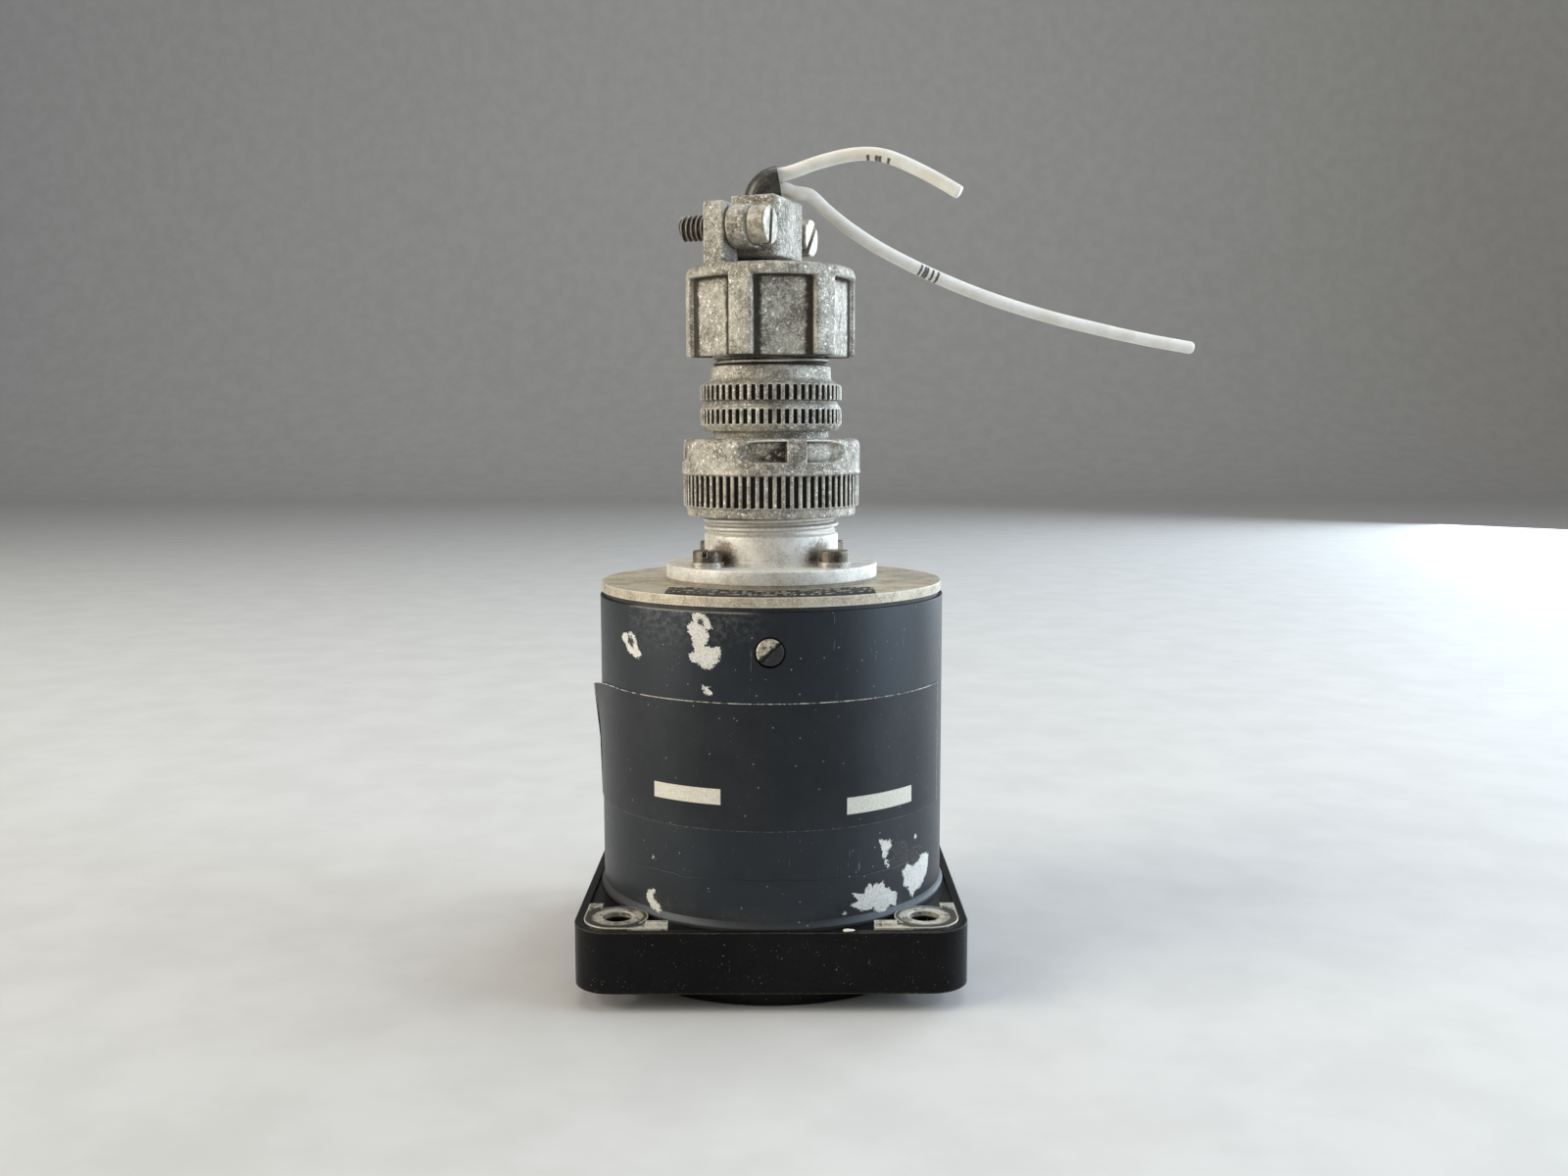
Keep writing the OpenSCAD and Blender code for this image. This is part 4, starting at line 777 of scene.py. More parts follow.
@dataclass(frozen=True)
class CasePaint(Finish):
    """Satin black paint on the case tube, chipped down to its pale primer, scratched and creased, with a
    painted sheen lightening its upper left.
    """

    chips: tuple[Chip, ...] = ()
    bruises: tuple[Chip, ...] = ()
    case_r: float = CASE_R
    foot: float = 12.0
    top: float = 60.5
    # The span round the case where the top edge is rubbed and a painted sheen lightens the upper paint
    handled: tuple[float, float] = (-24.0, -3.0)

    def paint(self, shader: Shader) -> bpy.types.Material:
        """Cuts the chips' outlines out of the black, with noise on their rims, ages the rest, and lightens the
        upper left as a painted sheen.

        Args:
            shader: The shader to paint on.

        Returns:
            The material.
        """
        at = shader.place()
        x, y, z = shader.split(at)
        around = shader.math("ARCTAN2", x, -y) * self.case_r
        broad = shader.noise(at, 0.1, 4.0, 0.6)
        fine = shader.noise(at, 1.0, 5.0, 0.7)
        grit = shader.noise(at, 3.6, 3.0, 0.7)
        rim = (fine - 0.5) * 1.7 + (grit - 0.5) * 2.0
        inside: Value = -1.0
        for chip in self.chips:
            inside = self._inside(shader, chip, around, z, rim).most(inside)
        bruised: Value = -1.0
        for chip in self.bruises:
            bruised = self._inside(shader, chip, around, z, rim * 1.3).most(bruised)
        bruise = bruised.step(-0.06, 0.08)
        bare = inside.step(-0.05, 0.05) * (1.0 - bruise)
        shade = inside.band(-0.3, -0.05, 0.06) * 0.6
        foot = (z + (fine - 0.5) * 3.4 + (broad - 0.5) * 5.0).step(self.foot + 4.2, self.foot + 0.2)
        lip = (z + (grit - 0.5) * 0.5).step(self.top - 0.35, self.top - 0.05) * around.band(*self.handled, 2.0)
        specks = shader.cells(at, 0.5).step(0.075, 0.03)
        specks = specks + shader.cells(at, 1.5).step(0.1, 0.04) * broad.step(0.52, 0.62)
        scratch = shader.noise(shader.vector("MULTIPLY", at, (1.0, 1.0, 0.16)), 1.9, 2.0, 0.6).step(0.69, 0.735)
        scratch = scratch * shader.noise(at, 0.16, 2.0).step(0.46, 0.6)
        # Painted sheen: near the top at the upper left the paint is lightened to grey as a soft reflection
        painted_sheen = (z + (broad - 0.5) * 6.0).step(self.top - 7.5, self.top - 1.0) * around.band(*self.handled, 5.0)
        painted_sheen = painted_sheen * (fine + (grit - 0.5) * 0.4).step(0.42, 0.62)
        seam = self._seams(around, z, broad, fine)
        black = shader.mix(broad.step(0.35, 0.65), (0.0028, 0.0034, 0.0047), (0.0065, 0.008, 0.0108))
        black = shader.mix(fine.step(0.5, 0.85) * 0.16, black, (0.036, 0.037, 0.039))
        black = shader.mix(painted_sheen * 0.6, black, (0.10, 0.10, 0.10))
        black = shader.mix((seam + shade).least(1.0) * 0.75, black, (0.003, 0.003, 0.003))
        colour = shader.mix((foot * 0.1 + lip * 0.75).least(1.0), black, (0.26, 0.25, 0.22))
        colour = shader.mix(scratch * 0.25, colour, (0.3, 0.29, 0.27))
        colour = shader.mix(specks.least(1.0) * 0.5, colour, (0.55, 0.53, 0.48))
        primer = shader.mix(grit.step(0.36, 0.6), (0.56, 0.54, 0.48), (0.80, 0.785, 0.73))
        primer = shader.mix((fine + (grit - 0.5) * 0.5).step(0.58, 0.7) * 0.45, primer, (0.36, 0.355, 0.35))
        colour = shader.mix(bare, colour, primer)
        sore = shader.mix(grit.step(0.52, 0.6), (0.006, 0.005, 0.004), (0.10, 0.07, 0.05))
        colour = shader.mix(bruise * 0.9, colour, sore)
        height = (1.0 - bare) * 2.0 + fine * 0.3 + grit * 0.12 - seam * 0.7 + bruise * grit
        return shader.finish(
            Base_Color=colour,
            Roughness=(0.38 + (fine - 0.5) * 0.22 + (broad - 0.5) * 0.16 + bare * 0.3 + foot * 0.1).least(0.9),
            Specular_IOR_Level=0.56,
            Specular_Tint=(0.80, 0.90, 1.0),
            Normal=shader.bump(height, 0.7, 0.05, 0.2),
        )

    @staticmethod
    def _seams(around: Field, z: Field, broad: Field, fine: Field) -> Field:
        """The thin dark lines of an old clear film: its lower and left edges, a seam and two creases.

        Args:
            around: Distance round the case.
            z: Height.
            broad: Broad noise that bends the lines.
            fine: Fine noise that breaks them up.

        Returns:
            The lines, from 0 to 1.
        """
        bent = z + (broad - 0.5) * 2.4
        low = bent.band(19.78, 19.9, 0.07) * around.step(-27.5, -26.5) * fine.step(0.32, 0.42)
        left = (around + (broad - 0.5) * 1.6).band(-28.5, -28.36, 0.06) * z.band(20.0, 27.2, 0.3)
        left = left * fine.step(0.34, 0.44)
        seam = (around + (fine - 0.5) * 0.5).band(2.1, 2.3, 0.08) * z.band(21.5, 27.2, 0.8) * 0.5
        slant = around + (z - 20.0) * 0.35
        crease = (slant + (fine - 0.5) * 0.8).band(7.6, 7.9, 0.08) * z.band(19.6, 21.2, 0.2)
        other = (around + (fine - 0.5) * 0.8).band(10.4, 10.65, 0.08) * z.band(19.6, 22.0, 0.2)
        return (low + left + seam + crease + other).least(1.0)

    @staticmethod
    def _inside(shader: Shader, chip: Chip, around: Field, z: Field, rim: Field) -> Field:
        """How far inside one chip a point lies, in millimetres, and less than 0 outside it.

        Args:
            shader: The shader.
            chip: The chip.
            around: Distance round the case.
            z: Height.
            rim: Noise that roughens the outline, in millimetres.

        Returns:
            The outline's distance from the chip's centre at this angle, less the point's own.
        """
        points, largest = chip.reach()
        right, up = around - chip.centre[0], z - chip.centre[1]
        turn = (shader.math("ARCTAN2", up, right) / (2 * math.pi) + 1.0).part()
        curve = shader.node("ShaderNodeFloatCurve", {"curve": points}, {"Value": turn})
        far = (right * right + up * up) ** 0.5
        return Field(shader, curve.outputs[0]) * largest + rim * 0.8 - far


@dataclass(frozen=True)
class LabelFilm(Finish):
    """Black printed film with two bare write-in boxes, dust and rubbed edges."""

    low: float = LABEL_LOW
    high: float = LABEL_HIGH
    left: float = -40.7
    right: float = 34.86
    boxes: tuple[tuple[float, float, float, float], ...] = (
        (-19.3, -7.6, 31.4, 33.8), (11.9, 25.0, 29.45, 32.05),
    )

    def paint(self, shader: Shader) -> bpy.types.Material:
        """Sets the pale boxes in the black and rubs the film's edges pale, by its own map in millimetres.

        Args:
            shader: The shader to paint on.

        Returns:
            The material.
        """
        at = shader.place()
        across, up = shader.mapped()
        around, z = across * MAP_UNIT, up * MAP_UNIT
        broad = shader.noise(at, 0.12, 4.0, 0.6)
        fine = shader.noise(at, 1.4, 5.0, 0.65)
        grit = shader.noise(at, 4.4, 3.0, 0.65)
        box: Value = 0.0
        for left, right, low, high in self.boxes:
            box = around.band(left, right, 0.06) * z.band(low, high, 0.06) + box
        rub = fine.step(0.42, 0.56) * 0.85 + 0.12
        ragged = (grit - 0.5) * 0.16
        rim = (z + ragged).step(self.high - 0.19, self.high - 0.06) * rub
        rim = rim + (z + ragged).step(self.low + 0.1, self.low + 0.02) * rub * 0.25
        rim = rim + (around + ragged).step(self.right - 0.22, self.right - 0.08) * rub
        upper = z.step(self.high - 9.0, self.high - 3.0)
        rim = rim + (around + ragged).step(self.left + 0.3, self.left + 0.1) * upper
        specks = shader.cells(at, 0.5).step(0.07, 0.02)
        specks = specks + shader.cells(at, 1.5).step(0.08, 0.03) * broad.step(0.5, 0.62)
        drawn_out = shader.join(around * 0.5, z * 2.2, 0.0)
        crease = shader.noise(drawn_out, 0.5, 3.0, 0.6, 1.0).band(0.495, 0.505, 0.004)
        black = shader.mix(broad.step(0.35, 0.65), (0.0058, 0.0064, 0.0076), (0.0112, 0.0122, 0.0142))
        black = shader.mix(fine.step(0.5, 0.85) * 0.2, black, (0.038, 0.038, 0.040))
        colour = shader.mix(specks.least(1.0) * 0.55, black, (0.6, 0.58, 0.52))
        paper = shader.mix(grit.step(0.4, 0.62), (0.64, 0.60, 0.50), (0.78, 0.75, 0.66))
        smudge = shader.noise(at, 1.6, 3.0, 0.6, 1.5).step(0.56, 0.66)
        paper = shader.mix(smudge * 0.35, paper, (0.45, 0.42, 0.35))
        colour = shader.mix(box, colour, paper)
        colour = shader.mix(rim.least(1.0) * 0.85, colour, (0.66, 0.64, 0.58))
        return shader.finish(
            Base_Color=colour,
            Roughness=(0.36 + (fine - 0.5) * 0.2 + (broad - 0.5) * 0.15 + box * 0.25).least(0.9),
            Specular_IOR_Level=0.42,
            Specular_Tint=(0.84, 0.92, 1.0),
            Normal=shader.bump(broad * 1.5 + fine * 0.25 + crease * 0.15, 0.5, 0.05),
        )


@dataclass(frozen=True)
class WornPlate(Finish):
    """Thin bare plate with scraps of black paint, tarnish and bright edges."""

    def paint(self, shader: Shader) -> bpy.types.Material:
        """Mixes bare metal, old paint and rust by noise.

        Args:
            shader: The shader to paint on.

        Returns:
            The material.
        """
        at = shader.place()
        patch = shader.noise(at, 0.4, 5.0, 0.65, 0.5)
        fine = shader.noise(at, 2.2, 4.0, 0.65)
        x, y, _ = shader.split(at)
        from_hole = ((abs(x) - PLATE_HOLE) ** 2 + (abs(y) - PLATE_HOLE) ** 2) ** 0.5
        metal = shader.mix(fine.step(0.35, 0.62), (0.36, 0.32, 0.235), (0.70, 0.66, 0.55))
        metal = shader.mix(patch.step(0.5, 0.58) * 0.5, metal, (0.76, 0.73, 0.63))
        paint = (patch + (fine - 0.5) * 0.35).step(0.46, 0.42) * 0.7
        # The paint mask also takes a dark ring 3.9 to 5.6 mm round each corner hole, where the groove behind
        # the tab lies
        paint = paint.most((from_hole + (fine - 0.5) * 1.6).band(3.9, 5.6, 0.25))
        colour = shader.mix(paint * 0.93, metal, (0.022, 0.020, 0.016))
        worn = (shader.edge(0.35) + (fine - 0.5) * 0.25).step(0.14, 0.34)
        colour = shader.mix(worn * 0.9, colour, (0.84, 0.80, 0.68))
        return shader.finish(
            Base_Color=colour,
            Metallic=0.4,
            Roughness=(0.42 + (fine - 0.5) * 0.3 + paint * 0.1).least(0.9),
            Normal=shader.bump(fine * 0.5 + paint * 0.8, 0.5, 0.05, 0.15),
        )


@dataclass(frozen=True)
class WireInsulation(Finish):
    """White insulation of a wire with a few plain black identifying strokes.

    The strokes' places are in the map's units along the wire, their width is in millimetres, and face
    is where round the wire they start, as a share of the turn.
    """

    strokes: tuple[float, ...] = ()
    stroke_w: float = 0.55
    face: float = 0.3

    def paint(self, shader: Shader) -> bpy.types.Material:
        """Draws the strokes by the wire's own map: first its length, then the way round it.

        Args:
            shader: The shader to paint on.

        Returns:
            The material.
        """
        at = shader.place()
        along, turn = shader.mapped()
        broad = shader.noise(at, 0.25, 4.0, 0.6)
        fine = shader.noise(at, 2.6, 4.0, 0.6)
        white = shader.mix(broad.step(0.35, 0.65), (0.80, 0.755, 0.66), (0.90, 0.88, 0.825))
        dirt = (fine + (broad - 0.5) * 0.8).step(0.62, 0.8)
        colour = shader.mix(dirt * 0.3, white, (0.42, 0.37, 0.29))
        ink: Value = 0.0
        half = self.stroke_w / 2 / MAP_UNIT
        for place in self.strokes:
            ink = (along + (fine - 0.5) * 0.004).band(place - half, place + half, 0.0006) + ink
        if self.strokes:
            side = (turn - self.face).part().band(0.0, 0.36, 0.02)
            colour = shader.mix((ink * side).least(1.0) * 0.9, colour, (0.02, 0.02, 0.02))
        return shader.finish(
            Base_Color=colour,
            Roughness=0.36,
            Subsurface_Weight=0.08,
            Subsurface_Radius=(0.001, 0.0009, 0.0007),
            Normal=shader.bump(fine * 0.4 + broad, 0.35, 0.05),
        )


@dataclass(frozen=True)
class Moulded(Finish):
    """Moulded rubber, resin or plastic in one tone with slight mottling."""

    light: Colour = (0.06, 0.058, 0.056)
    dark: Colour = (0.025, 0.024, 0.023)
    rough: float = 0.55
    dust: float = 0.25

    def paint(self, shader: Shader) -> bpy.types.Material:
        """Mottles the tone and lays a little dust on it.

        Args:
            shader: The shader to paint on.

        Returns:
            The material.
        """
        at = shader.place()
        broad = shader.noise(at, 0.4, 4.0, 0.6)
        fine = shader.noise(at, 2.5, 4.0, 0.6)
        colour = shader.mix((broad * 0.5 + fine * 0.5).step(0.35, 0.65), self.dark, self.light)
        dust = shader.noise(at, 1.2, 5.0, 0.7).step(0.56, 0.75)
        colour = shader.mix(dust * self.dust, colour, (0.4, 0.37, 0.32))
        return shader.finish(
            Base_Color=colour,
            Roughness=(self.rough + (fine - 0.5) * 0.2 + dust * 0.2).least(0.95),
            Normal=shader.bump(fine, 0.4, 0.04, 0.1),
        )


@dataclass(frozen=True)
class WindowGlass(Finish):
    """Clear cover glass with a faint greasy film."""

    def paint(self, shader: Shader) -> bpy.types.Material:
        """Lets light through and varies the gloss a little.

        Args:
            shader: The shader to paint on.

        Returns:
            The material.
        """
        at = shader.place()
        film = shader.noise(at, 0.25, 4.0, 0.6).step(0.45, 0.75)
        return shader.finish(
            Base_Color=(0.97, 0.985, 0.98),
            Roughness=film * 0.05 + 0.01,
            IOR=1.5,
            Transmission_Weight=1.0,
        )


@dataclass(frozen=True)
class PrintedDecal(Finish):
    """Dark printed strip on the back plate, its fine print rubbed away."""

    def paint(self, shader: Shader) -> bpy.types.Material:
        """Breaks the dark film up in short rows of pale dashes and bare patches.

        Args:
            shader: The shader to paint on.

        Returns:
            The material.
        """
        at = shader.place()
        x, y, z = shader.split(at)
        radius = (x * x + y * y) ** 0.5
        fine = shader.noise(at, 1.6, 5.0, 0.7)
        row = (radius * 2.6).wave().step(-0.4, 0.1)
        dash = shader.noise(shader.join(x + radius * 0.2, radius * 0.25, 0.0), 1.5, 2.0, 0.5)
        print_share = row * dash.step(0.48, 0.55) * radius.band(19.6, 26.4, 0.2)
        gone = (fine + (shader.noise(at, 0.35, 3.0) - 0.5) * 0.5).step(0.62, 0.69)
        colour = shader.mix(print_share * 0.7, (0.008, 0.007, 0.006), (0.42, 0.39, 0.32))
        colour = shader.mix(gone * 0.7, colour, (0.42, 0.38, 0.3))
        return shader.finish(
            Base_Color=colour,
            Roughness=0.55 + (fine - 0.5) * 0.2,
            Specular_IOR_Level=0.15,
            Normal=shader.bump(fine, 0.3, 0.02),
        )


class Tone(Enum):
    """The finishes of the gauge's pieces."""

    FLANGE = GlossEnamel("flange_gloss_enamel")
    CASE = CasePaint("case_satin_paint", CHIPS, BRUISES)
    LABEL = LabelFilm("case_label_film")
    PLATE = WornPlate("corner_plate_metal")
    BACK = BareAluminium(
        "back_plate_metal", (0.60, 0.535, 0.41), (0.32, 0.265, 0.175), (0.08, 0.052, 0.03), 0.75, flecks=0.6
    )
    SHELL = BareAluminium(
        "receptacle_metal",
        stain_share=0.45,
        flecks=0.5,
        # Rust stains with the painted shadow of each flange screw's head beside them
        stains=tuple((7.3 * a, 7.3 * b, 67.0, 3.6) for a in (-1, 1) for b in (-1, 1)),
    )
    RING = CastMetal("coupling_ring_cast", knurls=((74.95, 80.15, 14.05, 14.32),), pockets=True)
    BELL = CastMetal("end_bell_cast", knurls=((88.1, 90.6, 11.2, 11.48), (91.9, 94.4, 11.2, 11.48)))
    NUT = CastMetal("clamp_cast", reach=1.5, rounding=0.3, ribs=(98.8, 111.3, 12.75))
    CLAMP = CastMetal("clamp_jaw_cast", reach=1.3, rounding=0.4)
    NECK = CastMetal("plug_neck_cast", (0.42, 0.40, 0.34))
    SCREW = Machined("screw_steel", (0.50, 0.47, 0.39), (0.24, 0.205, 0.15), reach=1.0, metal=0.4, rub=0.7)
    THREAD = Machined(
        "screw_thread_steel", (0.16, 0.13, 0.1), (0.03, 0.024, 0.018), reach=0.5, metal=0.4, rub=0.95
    )
    FLANGE_SCREW = Machined(
        "flange_screw_steel", (0.20, 0.165, 0.12), (0.05, 0.04, 0.028), reach=0.8, metal=0.5
    )
    WASHER = Machined("washer_steel", (0.55, 0.53, 0.48), (0.26, 0.24, 0.2), reach=0.8, metal=0.5)
    CASE_SCREW = PaintedScrew("case_screw_brass")
    BRASS = Machined("movement_brass", (0.68, 0.52, 0.24), (0.5, 0.36, 0.15), (0.12, 0.08, 0.03), 0.3)
    STEEL = Machined("movement_steel", (0.55, 0.55, 0.56), (0.36, 0.36, 0.37), (0.08, 0.08, 0.08), 0.26)
    IRON = Machined("movement_iron", (0.3, 0.3, 0.31), (0.19, 0.19, 0.2), (0.04, 0.04, 0.04), 0.42)
    COPPER = Machined("coil_copper", (0.62, 0.27, 0.12), (0.42, 0.17, 0.07), (0.1, 0.04, 0.02), 0.34)
    RUBBER = Moulded("black_rubber")
    GASKET = Moulded("pale_gasket", (0.36, 0.33, 0.27), (0.2, 0.18, 0.14), 0.7)
    INSERT = Moulded("contact_insert_resin", (0.05, 0.044, 0.04), (0.025, 0.02, 0.018), 0.4, 0.12)
    BOARD = Moulded("board_resin", (0.22, 0.1, 0.04), (0.13, 0.055, 0.02), 0.42, 0.1)
    SLEEVE = Moulded("dark_sleeving", (0.075, 0.068, 0.056), (0.022, 0.019, 0.015), 0.32, 0.22)
    LEAD = Moulded("lead_insulation", (0.72, 0.68, 0.56), (0.6, 0.55, 0.44), 0.5, 0.15)
    DIAL = Moulded("dial_black", (0.017, 0.017, 0.018), (0.009, 0.009, 0.01), 0.6, 0.03)
    PRINT = Moulded("dial_print", (0.86, 0.85, 0.78), (0.78, 0.76, 0.68), 0.6, 0.05)
    POINTER = Moulded("pointer_white", (0.88, 0.87, 0.8), (0.8, 0.78, 0.7), 0.5, 0.05)
    YELLOW = Moulded("dial_yellow", (0.75, 0.5, 0.04), (0.66, 0.42, 0.03), 0.6, 0.05)
    GLASS = WindowGlass("window_glass")
    DECAL = PrintedDecal("plate_decal_print")
    BLOB = Moulded("old_cream_paint", (0.80, 0.77, 0.68), (0.66, 0.62, 0.52), 0.5, 0.2)
    LONG = WireInsulation("wire_long_insulation", (0.272, 0.2795, 0.284, 0.294, 0.3035), 0.42, 0.12)
    SHORT = WireInsulation("wire_short_insulation", (0.151, 0.166, 0.172, 0.187))

    def material(self) -> bpy.types.Material:
        """The finish's material."""
        return material_of(self.value)


# Surfaces


def ring_turn(count: int) -> Array:
    """Angles of a full turn, evenly spaced, without the last that closes it."""
    return np.linspace(0.0, 2 * np.pi, count, endpoint=False)


def step01(value: Array, low: float, high: float) -> Array:
    """Smooth step from 0 at low to 1 at high: 3t^2 - 2t^3 of the clipped share t."""
    share = np.clip((value - low) / (high - low), 0.0, 1.0)
    return share * share * (3 - 2 * share)


def softened(outline: Sequence[tuple[float, float]], radius: float, steps: int = 4) -> Array:
    """Rounds a closed outline's corners.

    Each corner gives way to a quadratic curve: (1-t)^2 S + 2t(1-t) P + t^2 E, where S and E lie on its
    two sides at the radius, or at 0.45 of the side where that is less.

    Args:
        outline: The corners in order.
        radius: How far from each corner its curve starts.
        steps: Points per curve.

    Returns:
        The points, shape (n, 2).
    """
    corner = np.asarray(outline, float)
    before, after = np.roll(corner, 1, 0) - corner, np.roll(corner, -1, 0) - corner
    size_b = np.linalg.norm(before, axis=1, keepdims=True)
    size_a = np.linalg.norm(after, axis=1, keepdims=True)
    start = corner + before / size_b * np.minimum(radius, 0.45 * size_b)
    end = corner + after / size_a * np.minimum(radius, 0.45 * size_a)
    t = np.linspace(0.0, 1.0, steps)[None, :, None]
    curve = (1 - t) ** 2 * start[:, None] + 2 * t * (1 - t) * corner[:, None] + t**2 * end[:, None]
    return curve.reshape(-1, 2)


def densified(points: Array, gap: float, fine: tuple[float, float, float, float] | None = None) -> Array:
    """Adds points on a profile's long pieces, evenly, so that none is longer than gap; the ends stay.

    Args:
        points: The profile, as (radius, height).
        gap: The longest piece.
        fine: A stretch with shorter pieces: (least radius, height from, height to, longest piece), or None.

    Returns:
        The points.
    """
    step = np.diff(points, axis=0)
    length = np.linalg.norm(step, axis=1)
    middle = points[:-1] + step / 2
    longest = np.full(len(length), gap)
    if fine is not None:
        least, low, high, small = fine
        longest[(middle[:, 0] > least) & (middle[:, 1] > low) & (middle[:, 1] < high)] = small
    place = np.concatenate([[0.0], np.cumsum(length)])
    counts = np.maximum(1, np.ceil(length / longest).astype(int))
    share = [np.linspace(a, b, n, endpoint=False) for a, b, n in zip(place[:-1], place[1:], counts)]
    wanted = np.concatenate([*share, place[-1:]])
    return np.stack([np.interp(wanted, place, points[:, i]) for i in range(points.shape[1])], axis=1)


@dataclass
class Grid:
    """Points of one surface on a grid of rows and columns, in millimetres.

    The last column joins the first.

    Attributes:
        points: Shape (rows, columns, 3).
        wrap_rows: Whether the last row joins the first.
        close_ends: Whether the first and last rows are closed by a fan to their middle.
        map: The surface's own map of the same rows and columns, or None.
    """

    points: Array
    wrap_rows: bool = False
    close_ends: bool = False
    map: Array | None = None

    def moved(self, origin: Array, frame: tuple[Array, Array, Array]) -> "Grid":
        """The grid with its three axes laid along the frame's and its origin put at a point."""
        turned_points = sum(self.points[..., i:i + 1] * frame[i] for i in range(3))
        return replace(self, points=turned_points + origin)

    def triangles(self) -> Array:
        """Corner numbers of the grid's triangles.

        A cell's corners are itself and its neighbours one row and one column on; each cell gives two
        triangles. Ends that are closed add a fan round the point that follows the grid's own.

        Returns:
            The triangles, shape (n, 3).
        """
        rows, columns = self.points.shape[:2]
        row = np.arange(rows if self.wrap_rows else rows - 1)
        column = np.arange(columns)
        r, c = (a.ravel() for a in np.meshgrid(row, column, indexing="ij"))
        r_next, c_next = (r + 1) % rows, (c + 1) % columns
        a, b = r * columns + c, r * columns + c_next
        d, e = r_next * columns + c, r_next * columns + c_next
        faces = [np.stack([a, b, e], 1), np.stack([a, e, d], 1)]
        if self.close_ends:
            first = rows * columns
            last_row = (rows - 1) * columns
            here, after = column, (column + 1) % columns
            faces.append(np.stack([np.full_like(here, first), after, here], 1))
            faces.append(np.stack([np.full_like(here, first + 1), last_row + here, last_row + after], 1))
        return np.concatenate(faces)

    def vertices(self) -> Array:
        """The grid's points in one list, with the middles of closed ends last.

        Returns:
            The points, shape (n, 3).
        """
        flat = [self.points.reshape(-1, 3)]
        if self.close_ends:
            flat += [self.points[0].mean(0, keepdims=True), self.points[-1].mean(0, keepdims=True)]
        return np.concatenate(flat)

    def outward(self) -> Array:
        """The triangles, turned if their signed volume shows that they face inwards.

        Returns:
            The triangles, shape (n, 3).
        """
        faces, points = self.triangles(), self.vertices()
        a, b, c = (points[faces[:, i]] for i in range(3))
        volume = np.einsum("ij,ij->i", a, np.cross(b, c)).sum()
        return faces if volume > 0 else faces[:, ::-1]


def surface_of(name: str, grids: Sequence[Grid], tone: Tone, crease: float = 38.0) -> bpy.types.Object:
    """Makes one mesh object of closed grids.

    Args:
        name: The piece's name.
        grids: Its surfaces, each closed.
        tone: Its finish.
        crease: The angle in degrees above which an edge is shaded sharp.

    Returns:
        The object, at the origin, in metres.
    """
    points, faces, count = [], [], 0
    for grid in grids:
        points.append(grid.vertices())
        faces.append(grid.outward() + count)
        count += len(points[-1])
    corners, triangles = np.concatenate(points) * MM, np.concatenate(faces)
    mesh = bpy.data.meshes.new(name)
    mesh.vertices.add(len(corners))
    mesh.vertices.foreach_set("co", corners.astype(np.float32).ravel())
    mesh.loops.add(triangles.size)
    mesh.loops.foreach_set("vertex_index", triangles.astype(np.int32).ravel())
    mesh.polygons.add(len(triangles))
    mesh.polygons.foreach_set("loop_start", np.arange(0, triangles.size, 3, dtype=np.int32))
    mesh.update(calc_edges=True)
    mesh.polygons.foreach_set("use_smooth", np.ones(len(triangles), bool))
    mesh.validate()
    if any(grid.map is not None for grid in grids):
        placed = np.concatenate([
            np.zeros((len(p), 2)) if g.map is None
            else np.concatenate([g.map.reshape(-1, 2), np.zeros((len(p) - g.map.size // 2, 2))])
            for g, p in zip(grids, points)
        ])
        layer = mesh.uv_layers.new(name="along")
        layer.uv.foreach_set("vector", placed[triangles.ravel()].astype(np.float32).ravel())
    mesh.set_sharp_from_angle(angle=math.radians(crease))
    piece = bpy.data.objects.new(name, mesh)
    bpy.context.scene.collection.objects.link(piece)
    piece.data.materials.append(tone.material())
    return piece


def turned(radius: Array, height: Array, angle: Array) -> Grid:
    """A closed profile carried round the axis.

    A point at radius r, height z and angle a lies at (r cos a, r sin a, z).

    Args:
        radius: The radius of each of the loop's points at each angle, shape (rows, columns).
        height: The height of each point, shape (rows,).
        angle: The angles of a full turn, shape (columns,).

    Returns:
        The grid, closed both ways.
    """
    z = np.repeat(height[:, None], len(angle), 1)
    return Grid(np.stack([radius * np.cos(angle), radius * np.sin(angle), z], -1), wrap_rows=True)


def swept(path: Array, radius: Array, sides: int, lengths: Array) -> Grid:
    """A round tube carried along a path.

    The ring at a point lies in the plane across the path there: its first axis is the path's
    direction crossed with Y, and its second is the direction crossed with the first.

    Args:
        path: The centre line, shape (rows, 3).
        radius: The radius at each point.
        sides: Points round the tube.
        lengths: Distance along the path at each point, for the tube's own map.

    Returns:
        The grid, with closed ends.
    """
    way = np.gradient(path, axis=0)
    way /= np.linalg.norm(way, axis=1, keepdims=True)
    across = np.cross(way, [0.0, 1.0, 0.0])
    across /= np.linalg.norm(across, axis=1, keepdims=True)
    over = np.cross(way, across)
    angle = ring_turn(sides)
    ring = np.cos(angle)[None, :, None] * across[:, None] + np.sin(angle)[None, :, None] * over[:, None]
    placed = path[:, None] + radius[:, None, None] * ring
    mapped = np.stack(np.broadcast_arrays(lengths[:, None] / MAP_UNIT, angle[None, :] / (2 * np.pi)), -1)
    return Grid(placed, close_ends=True, map=mapped)


